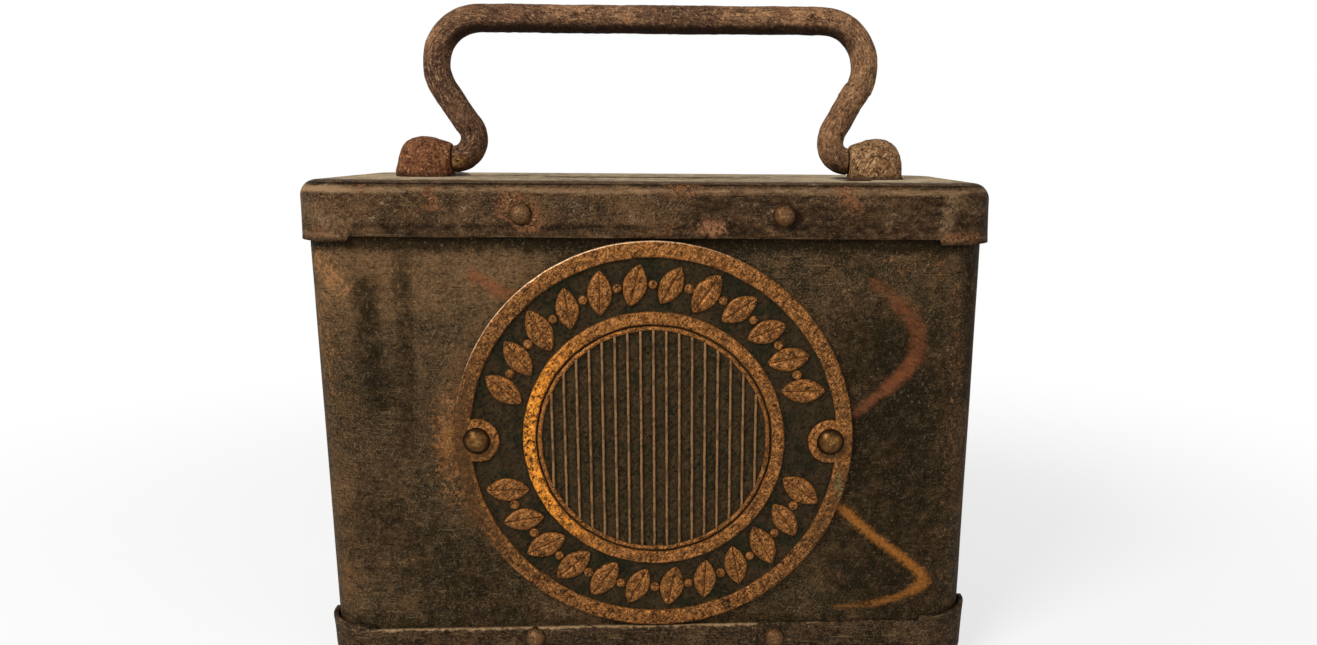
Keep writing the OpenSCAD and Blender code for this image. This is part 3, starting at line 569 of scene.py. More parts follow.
# The rivets: soft iron, their domed heads hammered over outside and their tails set inside. Two
# hold each skirt in front and two behind, and three close the body's seam.
def pattern(name, floats, ints=()):
    """A Geometry Nodes tree that takes a geometry, a finish and named numbers; and its inputs."""
    tree = bpy.data.node_groups.new(name, "GeometryNodeTree")
    kinds = {"Geometry": "Geometry", "Finish": "Material"}
    kinds.update(dict.fromkeys(floats, "Float") | dict.fromkeys(ints, "Int"))
    for label, kind in kinds.items():
        tree.interface.new_socket(label, in_out="INPUT", socket_type="NodeSocket" + kind)
    tree.interface.new_socket("Geometry", in_out="OUTPUT", socket_type="NodeSocketGeometry")
    return tree, tree.nodes.new("NodeGroupInput").outputs


def grow(obj, tree, inputs):
    """Runs a tree on a piece with its inputs set, and keeps the result as a plain mesh."""
    modifier = obj.modifiers.new("pattern", "NODES")
    modifier.node_group = tree
    for item in tree.interface.items_tree:
        if item.in_out == "INPUT" and item.name in inputs:
            modifier[item.identifier] = inputs[item.name]
    keep(obj, modifier)


def complete(tree, shape, given, waves=None, upright=False):
    """Ends a tree: makes its instances real, knocks them about by waves (a noise's scale, detail
    and depth), stands them on the medallion's ground if they belong there, and finishes them."""
    shape = add(tree, "GeometryNodeRealizeInstances", shape)
    if waves:
        scale, detail, depth = waves
        noisy = add(tree, "ShaderNodeTexNoise", {"Scale": scale, "Detail": detail})
        knock = add(tree, "ShaderNodeVectorMath", noisy.outputs["Color"], (-0.5, -0.5, -0.5),
                    operation="ADD")
        knock = add(tree, "ShaderNodeVectorMath", knock, {"Scale": depth}, operation="SCALE")
        shape = add(tree, "GeometryNodeSetPosition", shape, {"Offset": knock})
    if upright:
        shape = add(tree, "GeometryNodeTransform", shape, {
            "Translation": (medal_at + Vector((0, -ground_h, 0))) * mm,
            "Rotation": (math.pi / 2, 0, 0)})
    shape = add(tree, "GeometryNodeSetShadeSmooth", shape)
    shape = add(tree, "GeometryNodeSetMaterial", shape, {"Material": given["Finish"]})
    add(tree, "NodeGroupOutput", shape)
    return tree


tree, given = pattern("rivets", (
    "Head radius", "Head height", "Ball radius", "Grip", "Tail radius", "Dents"))
bury, tail_t = 0.5 * mm, 0.6 * mm
head = add(tree, "GeometryNodeMeshCylinder", {
    "Vertices": 36, "Side Segments": 1, "Fill Segments": 9, "Radius": given["Head radius"],
    "Depth": 2 * bury})
x, y, z = add(tree, "ShaderNodeSeparateXYZ", add(tree, "GeometryNodeInputPosition")).outputs
ball, head_h = given["Ball radius"], given["Head height"]
xx, ball2 = (add(tree, "ShaderNodeMath", v, v, operation="MULTIPLY") for v in (x, ball))
rr = add(tree, "ShaderNodeMath", y, y, xx, operation="MULTIPLY_ADD")
drop2 = add(tree, "ShaderNodeMath", ball2, rr, operation="SUBTRACT")
rise = add(tree, "ShaderNodeMath", drop2, operation="SQRT")
sunk = add(tree, "ShaderNodeMath", ball, head_h, operation="SUBTRACT")
crown = add(tree, "ShaderNodeMath", rise, sunk, operation="SUBTRACT")
upper = add(tree, "FunctionNodeCompare", z, 0.0, operation="GREATER_THAN")
level = add(tree, "GeometryNodeSwitch", upper, -bury, crown, input_type="FLOAT")
domed = add(tree, "GeometryNodeSetPosition", head, {
    "Position": add(tree, "ShaderNodeCombineXYZ", x, y, level)})
height = add(tree, "ShaderNodeMath", level, head_h, operation="DIVIDE", use_clamp=True)
named = add(tree, "GeometryNodeStoreNamedAttribute", domed, {"Name": "crown", "Value": height})
tail = add(tree, "GeometryNodeMeshCylinder", {
    "Vertices": 24, "Side Segments": 1, "Fill Segments": 1, "Radius": given["Tail radius"],
    "Depth": tail_t})
tail_z = add(tree, "ShaderNodeMath", given["Grip"], -1.0, -tail_t / 2, operation="MULTIPLY_ADD")
tail = add(tree, "GeometryNodeTransform", tail, {
    "Translation": add(tree, "ShaderNodeCombineXYZ", {2: tail_z})})
one = add(tree, "GeometryNodeJoinGeometry", named)
tree.links.new(tail.outputs[0], one.inputs[0])
facing = add(tree, "GeometryNodeInputNamedAttribute", "facing", data_type="FLOAT_VECTOR")
outwards = add(tree, "FunctionNodeAlignRotationToVector", {"Vector": facing}, axis="Z")
set_out = add(tree, "GeometryNodeInstanceOnPoints", given["Geometry"], {
    "Instance": one, "Rotation": outwards})
rivet_tree = complete(tree, set_out, given, (900.0, 1.0, given["Dents"]))


def rivets(name, places, finish, node, head_r=1.75, head_h=1.1, grip=1.6, dents=0.1):
    """Rivets on the box, each at its place in mm, facing the way its second vector says. grip is
    the thickness that a rivet holds, between its head and its tail."""
    mesh = bpy.data.meshes.new(name)
    mesh.from_pydata([Vector(p) * mm for p, way in places], [], [])
    ways = mesh.attributes.new("facing", "FLOAT_VECTOR", "POINT")
    ways.data.foreach_set("vector", [c for p, way in places for c in way])
    mesh.materials.append(finish)
    obj = put(name, mesh)
    grow(obj, rivet_tree, {
        "Head radius": head_r * mm, "Head height": head_h * mm,
        "Ball radius": (head_r ** 2 + head_h ** 2) / (2 * head_h) * mm, "Grip": grip * mm,
        "Tail radius": 1.4 * mm, "Dents": dents * mm, "Finish": finish})
    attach(obj, "box")
    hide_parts(node)
    return obj


# Hammered iron: brown-black in the hollows, its crown rubbed to a dull tan.
rivet_iron = aged("hammered_rivet_iron", "#33220f", 0.46, [
    coat("#5a4028", 0.9, 0.45, 0.6, 0.8),
    coat("#64482e", 0.6, 0.15, 0.7, 0.85, where=("crown", 1.2)),
    coat("#b08a60", 0.35, 0.95, 1.3, 0.7, 0.75, where=("crown", 2.6)),
    coat("#74452a", 0.5, 0.57, 0.64, 0.6, rough=0.85, metal=0, rise=0.03),
    coat("#0f0905", 0.3, 0.53, 0.6, 0.75, 0.8, rise=-0.04),
], metal=0.55, shine=0.04)
front_way, back_way, up_way = (0, -1, 0), (0, 1, 0), (0, 0, 1)
skirt_y, body_y, seam_z, seam_step = 25.35, 24.5, 40, 18.75
for name, z, node in (("lid_rivet_heads", lid_rivet_z, "lid_rivets"),
                      ("base_rivet_heads", base_rivet_z, "base_rivets")):
    places = [((x, -skirt_y, z), front_way) for x in front_rivets_x]
    places += [((s * skirt_rivet_x, skirt_y, z), back_way) for s in (-1, 1)]
    rivets(name, places, rivet_iron, node)
rivets("seam_rivet_heads", [((0, body_y, seam_z + k * seam_step), back_way) for k in (-1, 0, 1)],
       rivet_iron, "seam_rivets", head_h=1.0)

# The medallion: a disc stamped from sheet brass and coppered, with raised rings, a ribbed field
# and a wreath in its band. The ground between is blackened, and age has pitted the bright parts.
def lathe(bm, profile, steps, place, turn, shift=None):
    """Turns a profile of radius, height points round the height and sets it at a place in mm.
    turn is the rotation that brings the height to its direction; shift moves points a little."""
    rows = []
    for r, h in profile:
        row = []
        for k in range(steps):
            a = 2 * math.pi * k / steps
            p = Vector((r * math.cos(a), r * math.sin(a), h))
            if shift:
                p += shift(p)
            row.append(place + turn @ p)
        rows.append(row)
    made = skin(bm, rows)
    bmesh.ops.remove_doubles(bm, verts=made[0] + made[-1], dist=0.001 * mm)


medal_at = Vector((front_shift, -24.6, 40.0))
medal_turn = Matrix.Rotation(math.pi / 2, 3, "X")
medal_r, ring_w, inner_r, inner_w, bead_out, field_r = 31.45, 2.5, 20.6, 1.9, 18.3, 17.7
ground_h, relief_h = 0.5, 1.1
pad_x, pad_r = 27.9, 3.5
ground_y, raised_y = -25.1, -25.35

# Coppered brass under old black lacquer: gold-orange where it is rubbed, brown-copper where it
# is dull, pitted with dark specks, and greenish black with a trace of verdigris in the ground.
# A highlight is painted on its rim, painted light lies on its inner ring and field towards the
# upper left, and painted shadow lies round its rivets.
medal_copper = aged("coppered_brass_blackened", "#2c2213", 0.65, [
    coat("#382b1a", 2, 0.46, 0.6, 0.7),
    coat("#171b0d", 4, 0.46, 0.6, 0.75),
    coat("#5a4327", 0.6, 0.3, 1.1, 0.8, 0.8, where=("haze", 2)),
    coat("#513f26", 0.35, 0.6, 0.66, 0.5, 0.8),
    coat("#6a4320", 0.5, 0.45, 0.75, where=("raised", 0.5), rough=0.5, metal=0.3),
    # Rubbed copper; on the inner ring and field it is also painted light, lighter towards the top
    # and the left.
    coat("#9a602a", 0.8, 0.1, 0.9, where=("bright", 1.5), rough=0.45, metal=0.4),
    coat("#c07c3e", 0.5, 1.04, 1.18, 0.6, 0.8, where=("raised", 3), rough=0.5, metal=0.3),
    coat("#2e1a0c", 1, 1.06, 1.2, 0.55, 0.8, where=("raised", 3), rough=0.85, metal=0, rise=-0.04),
    coat("#d99a5c", 0.2, 1.05, 1.18, 0.5, where=("raised", 3)),
    coat("#28160a", 0.2, 1.04, 1.17, 0.5, where=("raised", 3), metal=0),
    # Rubbed brass on the inner ring's left, with a painted highlight where it faces the key light.
    coat("#f09433", 0.5, 0.3, 0.85, 1, 0.75, where=("gold", 2.4), rough=0.38, metal=0.5),
    coat("#ffb04a", 0.4, 0.85, 1.05, 0.7, 0.75, where=("gold", 3), rough=0.35, metal=0.5),
    coat("#4a2c14", 1.8, 0.97, 1.15, 0.65, 0.8, where=("raised", 1.8), metal=0.1),
    coat("#c88a4c", 0.3, 0.72, 1.15, 0.8, 0.75, where=("bright", 2.2)),
    coat("#150d06", 0.45, 0.54, 0.6, 0.8, 0.85, rough=0.85, metal=0, rise=-0.06),
    coat("#1b1008", 0.25, 0.56, 0.62, 0.85, stretch=(1, 1, 5), turn=(0, 40, 0), metal=0),
    coat("#1a1007", 0.75, 0.56, 0.7, 0.92, 0.8, where=("pits", 2.6), rough=0.85, metal=0,
         rise=-0.05),
    # A painted highlight along the rim's outer edge at the upper left.
    coat("#e8bc90", 0.5, 0.35, 0.9, where=("rim", 1.4), rough=0.4, metal=0.6),
    # Grime on the outer ring's sides, and painted shadow round the rivet heads.
    coat("#452f1a", 0.7, 0.1, 0.9, 0.88, 0.75, where=("grime_and_shadow", 2), rough=0.8, metal=0),
    coat("#6c6c44", 0.5, 0.5, 0.9, 0.7, where=("verdigris", 2.6), rough=0.9, metal=0),
], shine=0.06)

ring_in = medal_r - ring_w


def brink(r, way):
    """A ring's edge at r, from the ground up; way is 1 where the ring lies inward of it."""
    return [(r + way * 0.3, ground_h), (r + way * 0.1, 0.55), (r, 0.9), (r - way * 0.06, 1.02),
            (r - way * 0.2, relief_h)]


profile = [(0, 0), (10, 0), (20, 0), (medal_r - 0.1, 0), (medal_r, 0.1), (medal_r, 0.9),
           (medal_r - 0.08, 1.03), (medal_r - 0.25, relief_h)]
profile += [(medal_r - 0.25 - k * (ring_w - 0.5) / 6, relief_h) for k in range(1, 6)]
profile += brink(ring_in, -1)[::-1]
profile += [(r, ground_h) for r in (27.4, 26.2, 25.0, 23.8, 22.6, 21.6)]
profile += brink(inner_r, 1)
profile += [(inner_r - 0.65, relief_h), (inner_r - 1.2, relief_h)]
profile += brink(inner_r - inner_w, -1)[:1:-1]
profile += [(bead_out + 0.25, 0.56), (bead_out + 0.1, 0.56), (bead_out, 0.85),
            (bead_out - 0.12, 1.0), (bead_out - 0.3, 1.06), (field_r + 0.12, 1.0),
            (field_r, 0.85), (field_r - 0.1, 0.52)]
profile += [(r, ground_h) for r in (17.2, 15.5, 13, 10, 7, 4, 2, 0)]


def stamped(p):
    """Worn dies: the relief wanders a little in width, and its face is not quite flat."""
    if p.z < 0.3:
        return Vector()
    reach = p.xy.length
    if reach < 1:
        return Vector()
    away = noise.noise(p / 2.2)
    away = 0.1 * away if reach < medal_r - 0.4 else -0.08 * abs(away)
    sink = 0.06 * abs(noise.noise(p / 1.3)) if p.z > 0.8 else 0.0
    return Vector((p.x / reach * away, p.y / reach * away, -sink))


medal_mesh = bmesh.new()
lathe(medal_mesh, profile, 288, medal_at, medal_turn, stamped)
pad_profile = [(0, 0.3), (pad_r, 0.3), (pad_r, 0.9), (pad_r - 0.07, 1.03)]
pad_profile += [(r, relief_h) for r in (pad_r - 0.25, 2.6, 1.6, 0)]
for s in (-1, 1):
    lathe(medal_mesh, pad_profile, 72, medal_at + Vector((s * pad_x, -0.01, 0)), medal_turn,
          lambda p: 0.08 * noise.noise(p / 1.5) * Vector((p.x, p.y, 0)).normalized())
medallion = piece("medallion_disc", medal_mesh, medal_copper, sharp=50)


def medal_masks(obj):
    """Where the medallion is raised, rubbed, golden, hazy, pitted or grimy, and where it has a
    painted highlight at its rim, painted light at the upper left and painted shadow round its
    rivets.
    """
    def paint(name, measure, level=raised_y):
        """A mask on what stands out as far as level, from each point's way from the middle."""
        def at(p, n):
            return measure(Vector((p.x - medal_at.x, p.z - medal_at.z))) if p.y < level else 0.0
        mask(obj, name, at)

    def towards(out, x, y):
        return max(0.0, out.normalized().dot(Vector((x, y))))

    # Rubbed copper on the pads, the band and the outer ring's top and bottom. Over the inner ring
    # and field, painted light makes it lighter towards the top and the left.
    def bright(out):
        if abs(abs(out.x) - pad_x) < pad_r and abs(out.y) < pad_r:
            return 0.62
        if out.length > ring_in - 0.3:
            return 0.08 + 0.48 * (abs(out.y) / out.length) ** 1.5
        if out.length > inner_r:
            return 0.42
        return 0.48 + 0.2 * (out.y > 0) * out.y / inner_r - 0.06 * out.x / inner_r

    # Rubbed brass on the inner ring's left, and a painted highlight there, where it faces the key
    # light.
    def gold(out):
        ring = inner_r - inner_w - 0.2 < out.length < inner_r + 0.2
        return ring * (0.05 + 0.85 * towards(out, -0.99, -0.05) ** 1.6)

    # Grime on the outer ring's left and right sides, and a painted shadow: a crescent round each
    # rivet head, heaviest to the lower right.
    def grime_and_shadow(out):
        sides = max(0.9 * towards(out, -0.99, -0.1) ** 4, 0.5 * towards(out, 0.95, -0.3) ** 4)
        rivet = out - Vector((math.copysign(pad_x, out.x), 0))
        shade = 0.55 + 0.65 * rivet.normalized().dot(Vector((0.6, -0.8)))
        outer = clamp((out.length - 28.5) / 1.2)
        return max(outer * sides, bell(rivet.length - 2.45, 0.4) * shade)

    paint("pits", lambda out: (
        0.45 if out.length > ring_in - 0.3 and out.y < -12 else 0.6 * gold(out)))
    # Painted highlight: a pale line on the rim's outer edge, towards the upper left.
    paint("rim", lambda out: (
        (out.length >= medal_r - 0.16) * towards(out, -0.5, 0.87) ** 1.5), raised_y - 0.05)
    paint("grime_and_shadow", grime_and_shadow, 0.0)
    paint("haze", lambda out: 0.45 * (out.length < field_r) + 0.05, 0.0)
    paint("bright", bright)
    paint("gold", gold)
    mask(obj, "raised", lambda p, n: (ground_y - p.y) / 0.4)
    strokes(obj, 2, verdigris=[(1.6, 0.7, (30.6, 34), (30.9, 31))])


medal_masks(medallion)
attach(medallion, "box")
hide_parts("medallion")

# The ribbed field: upright ridges stamped across the middle of the medallion, each as long as
# the round field lets it be. Their crests are rubbed to a thin tan-copper line.
tree, given = pattern("field_ribs", ("Pitch", "Field radius", "Rib radius", "Waves"), ["Count"])
pitch, field = given["Pitch"], given["Field radius"]
half = add(tree, "ShaderNodeMath", given["Count"], -0.5, 0.5, operation="MULTIPLY_ADD")
first = add(tree, "ShaderNodeMath", half, pitch, operation="MULTIPLY")
line = add(tree, "GeometryNodeMeshLine", given["Count"], {
    "Start Location": add(tree, "ShaderNodeCombineXYZ", first),
    "Offset": add(tree, "ShaderNodeCombineXYZ", pitch)})
x = add(tree, "ShaderNodeSeparateXYZ", add(tree, "GeometryNodeInputPosition"))
r2, x2 = (add(tree, "ShaderNodeMath", v, v, operation="MULTIPLY") for v in (field, x))
left2 = add(tree, "ShaderNodeMath", r2, x2, operation="SUBTRACT")
reach = add(tree, "ShaderNodeMath", left2, operation="SQRT")
length = add(tree, "ShaderNodeMath", reach, 2 / mm, operation="MULTIPLY")
bar = add(tree, "GeometryNodeMeshCylinder", {
    "Vertices": 12, "Side Segments": 44, "Radius": given["Rib radius"], "Depth": mm})
ribs = add(tree, "GeometryNodeInstanceOnPoints", line, {
    "Instance": bar, "Rotation": (-math.pi / 2, 0, 0),
    "Scale": add(tree, "ShaderNodeCombineXYZ", 1.0, 1.6, length)})
rib_tree = complete(tree, ribs, given, (420.0, 2.0, given["Waves"]), upright=True)

# The same coppered brass, duller: the crests are brown-tan and the flanks nearly black.
rib_copper = aged("coppered_ribs_dull", "#1d150d", 0.65, [
    coat("#83603c", 0.7, 0.35, 1, 1, 0.8, where=("crest", 2.2), rough=0.5, metal=0.1),
    coat("#49341f", 1.6, 0.5, 0.62, 0.7),
    coat("#1a100a", 0.4, 0.55, 0.62, 0.85, 0.85, metal=0),
], shine=0.12)
rib_piece = piece("medallion_ribs", bmesh.new(), rib_copper)
grow(rib_piece, rib_tree, {
    "Count": 17, "Pitch": 2 * mm, "Field radius": 17.75 * mm, "Rib radius": 0.3 * mm,
    "Waves": 0.12 * mm, "Finish": rib_copper})
mask(rib_piece, "crest", lambda p, n: (ground_y - 0.2 - p.y) / 0.25)
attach(rib_piece, "box")

# The wreath: leaves with a sunk vein, leaning one way, and a berry between each two, stamped
# round the band between the rings and left out beside the two rivets.
def cap_ends(bm, ends):
    """Closes a tube that skin has made, and turns its faces outwards."""
    bm.faces.new(ends[0])
    bm.faces.new(ends[-1][::-1])
    bmesh.ops.recalc_face_normals(bm, faces=bm.faces)


leaf_len, leaf_w, leaf_h = 7.0, 3.7, 0.6
half_leaf = [(1, -0.1, 0), (1, 0, 0.45), (0.72, 0, 0.9), (0.34, 0, 1), (0.1, 0, 0.9)]
leaf_mesh = bmesh.new()
leaf_rows = []
for k in range(13):
    t = k / 12
    half_w = leaf_w / 2 * max(0.02, math.sin(math.pi * t) ** 0.75)
    crest = leaf_h * min(1.0, 0.35 + 1.6 * math.sin(math.pi * t))
    side = [(x * half_w, foot + up * crest) for x, foot, up in half_leaf]
    across = [(-x, z) for x, z in side] + [(0, 0.45 * crest)] + side[::-1]
    leaf_rows.append([(x, leaf_len * (t - 0.5), z) for x, z in across])
cap_ends(leaf_mesh, skin(leaf_mesh, leaf_rows, flip=True))
leaves = piece("medallion_leaves", leaf_mesh, medal_copper, sharp=60)

berry_mesh = bmesh.new()
berry = [(0, -0.1), (0.75, -0.1), (0.75, 0.25), (0.63, 0.45), (0.38, 0.58), (0, 0.6)]
lathe(berry_mesh, berry, 14, Vector(), Matrix.Identity(3))
berries = piece("medallion_berries", berry_mesh, medal_copper, sharp=60)

tree, given = pattern("wreath", ("Band radius", "Start", "Lean", "Gap"), ("Count", "Seed"))
circle = add(tree, "GeometryNodeMeshCircle", given["Count"], given["Band radius"])
turned = add(tree, "GeometryNodeTransform", circle, {
    "Rotation": add(tree, "ShaderNodeCombineXYZ", {2: given["Start"]})})
x, y, z = add(tree, "ShaderNodeSeparateXYZ", add(tree, "GeometryNodeInputPosition")).outputs
rise = add(tree, "ShaderNodeMath", y, operation="ABSOLUTE")
beside = add(tree, "FunctionNodeCompare", rise, given["Gap"], operation="LESS_THAN")
kept = add(tree, "GeometryNodeDeleteGeometry", turned, beside)
lean_to = add(tree, "ShaderNodeMath", y, x, operation="ARCTAN2")
sway, size = (add(tree, "FunctionNodeRandomValue", {
    "Min": low, "Max": high, "Seed": given["Seed"]}, data_type="FLOAT").outputs["Value"]
    for low, high in ((-0.07, 0.07), (0.94, 1.05)))
for more in (given["Lean"], sway):
    lean_to = add(tree, "ShaderNodeMath", lean_to, more, operation="ADD")
stamp = add(tree, "GeometryNodeInstanceOnPoints", kept, {
    "Instance": given["Geometry"], "Rotation": add(tree, "ShaderNodeCombineXYZ", {2: lean_to}),
    "Scale": add(tree, "ShaderNodeCombineXYZ", size, size, 1.0)})
wreath_tree = complete(tree, stamp, given, upright=True)

band_r, leaf_count = 24.8, 28
leaf_lean, rivet_gap = math.radians(70), math.radians(13)
for obj, start, lean_by in ((leaves, math.pi / leaf_count, leaf_lean), (berries, 0.0, 0.0)):
    grow(obj, wreath_tree, {
        "Count": leaf_count, "Band radius": band_r * mm, "Start": start, "Lean": lean_by,
        "Gap": band_r * math.sin(rivet_gap) * mm, "Seed": 7, "Finish": medal_copper})
    medal_masks(obj)
    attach(obj, "box")

# The medallion's rivets: two larger round heads of dark bronze, smooth from handling.
bronze = aged("dark_bronze_rubbed", "#2a1a0b", 0.36, [
    coat("#6b4a25", 1, 0.3, 1, 0.9, where=("crown", 1.2)),
    coat("#b0834c", 0.35, 0.95, 1.25, 0.7, 0.75, where=("crown", 2.4)),
    coat("#2b1c0d", 0.8, 0.5, 0.6, 0.6, 0.75),
    coat("#160d06", 0.35, 0.55, 0.61, 0.7, 0.8, rise=-0.03),
], metal=0.75, shine=0.06)
rivets("medallion_rivet_heads",
       [((front_shift + s * pad_x, raised_y - 0.33, medal_at.z), front_way) for s in (-1, 1)],
       bronze, "medallion_rivets", head_r=2.2, head_h=1.2, grip=1.9, dents=0.07)

# The ears: two forged iron domes riveted through the lid, bored from the inner side for the
# handle's ends. They are the rustiest parts: the left one a granular red, the right one tan.
ear_r, ear_wall, pivot_z = 4.7, 2.2, 82.9
bore_r, bore_len, bore_x = 1.56, 7.1, 37.45


def ear(name, s, finish, node):
    """A dome with its skirt on the lid at s times ear_x, and towards the middle a flat boss with
    a blind bore in it."""
    profile = [(0, -0.3), (ear_r - 0.5, -0.3), (ear_r - 0.1, -0.1)]
    profile += [(ear_r, ear_wall * k / 5) for k in range(6)]
    profile += [(ear_r * math.cos(a) ** 0.88, ear_wall + ear_r * math.sin(a) ** 0.96)
                for a in (math.pi / 2 * k / 22 for k in range(1, 22))]
    profile.append((0, ear_wall + ear_r))

    def forged(p):
        """The forging's lumps, a flare at the left ear's outer foot and the flat inner boss."""
        out = Vector((p.x, p.y, max(0.0, p.z - ear_wall)))
        if p.z < 0.2 or out.length < 0.1:
            return Vector((p.x, p.y, 0)).normalized() * (0.3 if p.z > -0.2 else 0.0)
        lump = uneven(p.x, p.y, p.z, 3.2, 0.3, s) + uneven(p.x, p.y, p.z, 0.9, 0.22, 4 * s)
        outer = s * p.x / ear_r
        lump = lump * min(1.0, 1.0 + 0.9 * outer) - 0.15 * max(0.0, outer)
        lump += 0.25 * bell(p.z - 4.6, 2) * max(0.0, outer)
        flare = 0.5 * bell(p.z - 0.3, 1.3) * max(0.0, outer) * (s < 0)
        moved = out.normalized() * (flare - lump) * min(1.0, p.z / 0.6)
        if outer < 0:
            off_axis = math.hypot(p.y, p.z - pivot_z + lid_top)
            boss = clamp((3.5 - off_axis) / 1.1)
            moved.x += (-s * (ear_r - 0.05) - p.x - moved.x) * boss * boss * (3 - 2 * boss)
        return moved

    bm = bmesh.new()
    lathe(bm, profile, 110, Vector((s * ear_x, 0, lid_top)), Matrix.Identity(3), forged)
    dome = piece(name, bm, finish, sharp=80)
    cutter_mesh = bmesh.new()
    bore = Matrix.Translation(Vector((s * bore_x, 0, pivot_z)) * mm)
    bmesh.ops.create_cone(cutter_mesh, cap_ends=True, segments=40, radius1=bore_r * mm,
                          radius2=bore_r * mm, depth=bore_len * mm,
                          matrix=bore @ Matrix.Rotation(math.pi / 2, 4, "Y"))
    cutter = piece("bore_cutter", cutter_mesh, finish)
    cut = dome.modifiers.new("bore", "BOOLEAN")
    cut.operation = "DIFFERENCE"
    cut.object = cutter
    cut.solver = "EXACT"
    keep(dome, cut)
    bpy.data.objects.remove(cutter)
    # Each dome is darkened towards its foot, where it stands on the lid.
    mask(dome, "foot", lambda p, n: 1 - (p.z - lid_top) / 1.6)
    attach(dome, "box")
    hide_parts(node)


# Rusted forged iron: crumbly orange and red-brown grains with dark pits between them.
red_rust = aged("forged_iron_red_rust", "#6a412a", 0.9, [
    coat("#8e5c3c", 1.8, 0.44, 0.58, 0.8, 0.7),
    coat("#4a2a20", 1.2, 0.5, 0.6, 0.7, 0.75),
    coat("#ad7850", 0.5, 0.51, 0.6, 0.75, 0.75, rise=0.08),
    coat("#cb9868", 0.35, 0.58, 0.64, 0.85, rise=0.05),
    coat("#2c150b", 0.5, 0.52, 0.6, 0.9, 0.8, rise=-0.14),
    coat("#1c0f08", 0.8, 0.4, 0.9, 0.75, where=("foot", 1.2)),
], shine=0.08)
tan_rust = aged("forged_iron_tan_rust", "#7c5838", 0.88, [
    coat("#9a7450", 1.8, 0.44, 0.58, 0.8, 0.7),
    coat("#54351f", 1.1, 0.5, 0.6, 0.75, 0.75, rise=-0.05),
    coat("#d4ac80", 0.3, 0.54, 0.61, 0.8, stretch=(1, 1, 5), turn=(0, 35, 0), rise=0.05),
    coat("#cca274", 0.3, 0.57, 0.64, 0.75, stretch=(1, 1, 5), turn=(0, -40, 0), rise=0.05),
    coat("#22120a", 0.5, 0.53, 0.6, 0.9, 0.8, rise=-0.14),
    coat("#1c1009", 0.8, 0.4, 0.9, 0.75, where=("foot", 1.2)),
], shine=0.08)
ear("ear_left_dome", -1, red_rust, "ear_left")
ear("ear_right_dome", 1, tan_rust, "ear_right")

# The stop rivets: two heads beside the ears, which keep the plates under the lid from turning.
# They are dark with grime and so low that the handle folds flat over them.
stop_x, stop_y, stop_z = 34.7, 8.0, lid_top - 0.08
stop_heads = rivets(
    "stop_rivet_heads", [((s * stop_x, -s * stop_y, stop_z), up_way) for s in (-1, 1)],
    rivet_iron, "stop_rivets", head_r=2.2, head_h=0.58, dents=0.06)
for value in stop_heads.data.attributes["crown"].data:
    value.value *= 0.2

# The handle: one forged iron rod, bent to a bail whose legs curl in under the bar and turn out
# into the ears. It is pitted all over and rusted brown, rubbed tan on the bar and the right leg
# and golden at the left foot.
rod_r, pin_r, pin_end = 2.3, 1.5, 40.7
foot_x, foot_r = 33.6, 3.5
bend_x, bend_z, bend_r = 28.4, 15.4, 7.5
leg_lean = math.asin(
    (bend_r + foot_r) / math.hypot(foot_x - bend_x, bend_z - foot_r)) - math.atan2(
    foot_x - bend_x, bend_z - foot_r)


def arc(x, z, r, start, end, steps):
    """An arc of the rod's middle line: points of x, height over the pivot and the rod's radius."""
    return [(x + r * math.cos(a), z + r * math.sin(a), rod_r)
            for a in (start + (end - start) * k / steps for k in range(steps + 1))]


rod_top = pivot_z + bend_z + bend_r + rod_r - 0.02
half = [(pin_end - k * (pin_end - foot_x - 0.16) / 10, 0.0, pin_r) for k in range(11)]
half += [(foot_x + 0.14, 0.0, pin_r + 0.45), (foot_x + 0.1, 0.0, rod_r - 0.1)]
half += arc(foot_x, foot_r, foot_r, 1.5 * math.pi, math.pi - leg_lean, 26)
top = arc(bend_x, bend_z, bend_r, -leg_lean, math.pi / 2, 44)
(x0, z0, r), (x1, z1, r) = half[-1], top[0]
leg_steps, bar_steps = 18, 150
half += [(x0 + (x1 - x0) * k / leg_steps, z0 + (z1 - z0) * k / leg_steps, rod_r)
         for k in range(1, leg_steps)] + top
bar = [(bend_x - 2 * bend_x * k / bar_steps, bend_z + bend_r, rod_r) for k in range(1, bar_steps)]
line = half + bar + [(-x, z, r) for x, z, r in reversed(half)]
ring_count = 40
rows, straightened = [], []
gone = 0.0
for k, (x, z, r) in enumerate(line):
    before, after = line[max(0, k - 1)], line[min(len(line) - 1, k + 1)]
    along = Vector((after[0] - before[0], 0, after[1] - before[1])).normalized()
    across = Vector((along.z, 0, -along.x))
    gone += math.dist((x, z), line[max(0, k - 1)][:2])
    free = r > pin_r + 0.3
    middle = Vector((x, 0, pivot_z + z))
    if x > 0:
        middle.x += 0.65 * bell(z - 4.5, 4) * (x < foot_x) + 0.15 * (z > 12)
    if free and z > 6:
        middle.z -= uneven(x, 0, z, 13, 0.12, 1.1)
        middle.y += uneven(x, 0, z, 17, 0.5, 7.7) - 0.25
    row = []
    for j in range(ring_count):
        a = 2 * math.pi * j / ring_count
        way = across * math.cos(a) + Vector((0, 1, 0)) * math.sin(a)
        at = middle + way * r
        straightened += [gone * mm, r * math.cos(a) * mm, r * math.sin(a) * mm]
        if free:
            worn = uneven(at.x, at.y, at.z, 5, 0.22, 0.4) + uneven(at.x, at.y, at.z, 1.1, 0.12, 9)
            at -= way * (worn - 0.14)
            at.z = min(at.z, rod_top)
        row.append(at)
    rows.append(row)
handle_mesh = bmesh.new()
cap_ends(handle_mesh, skin(handle_mesh, rows))

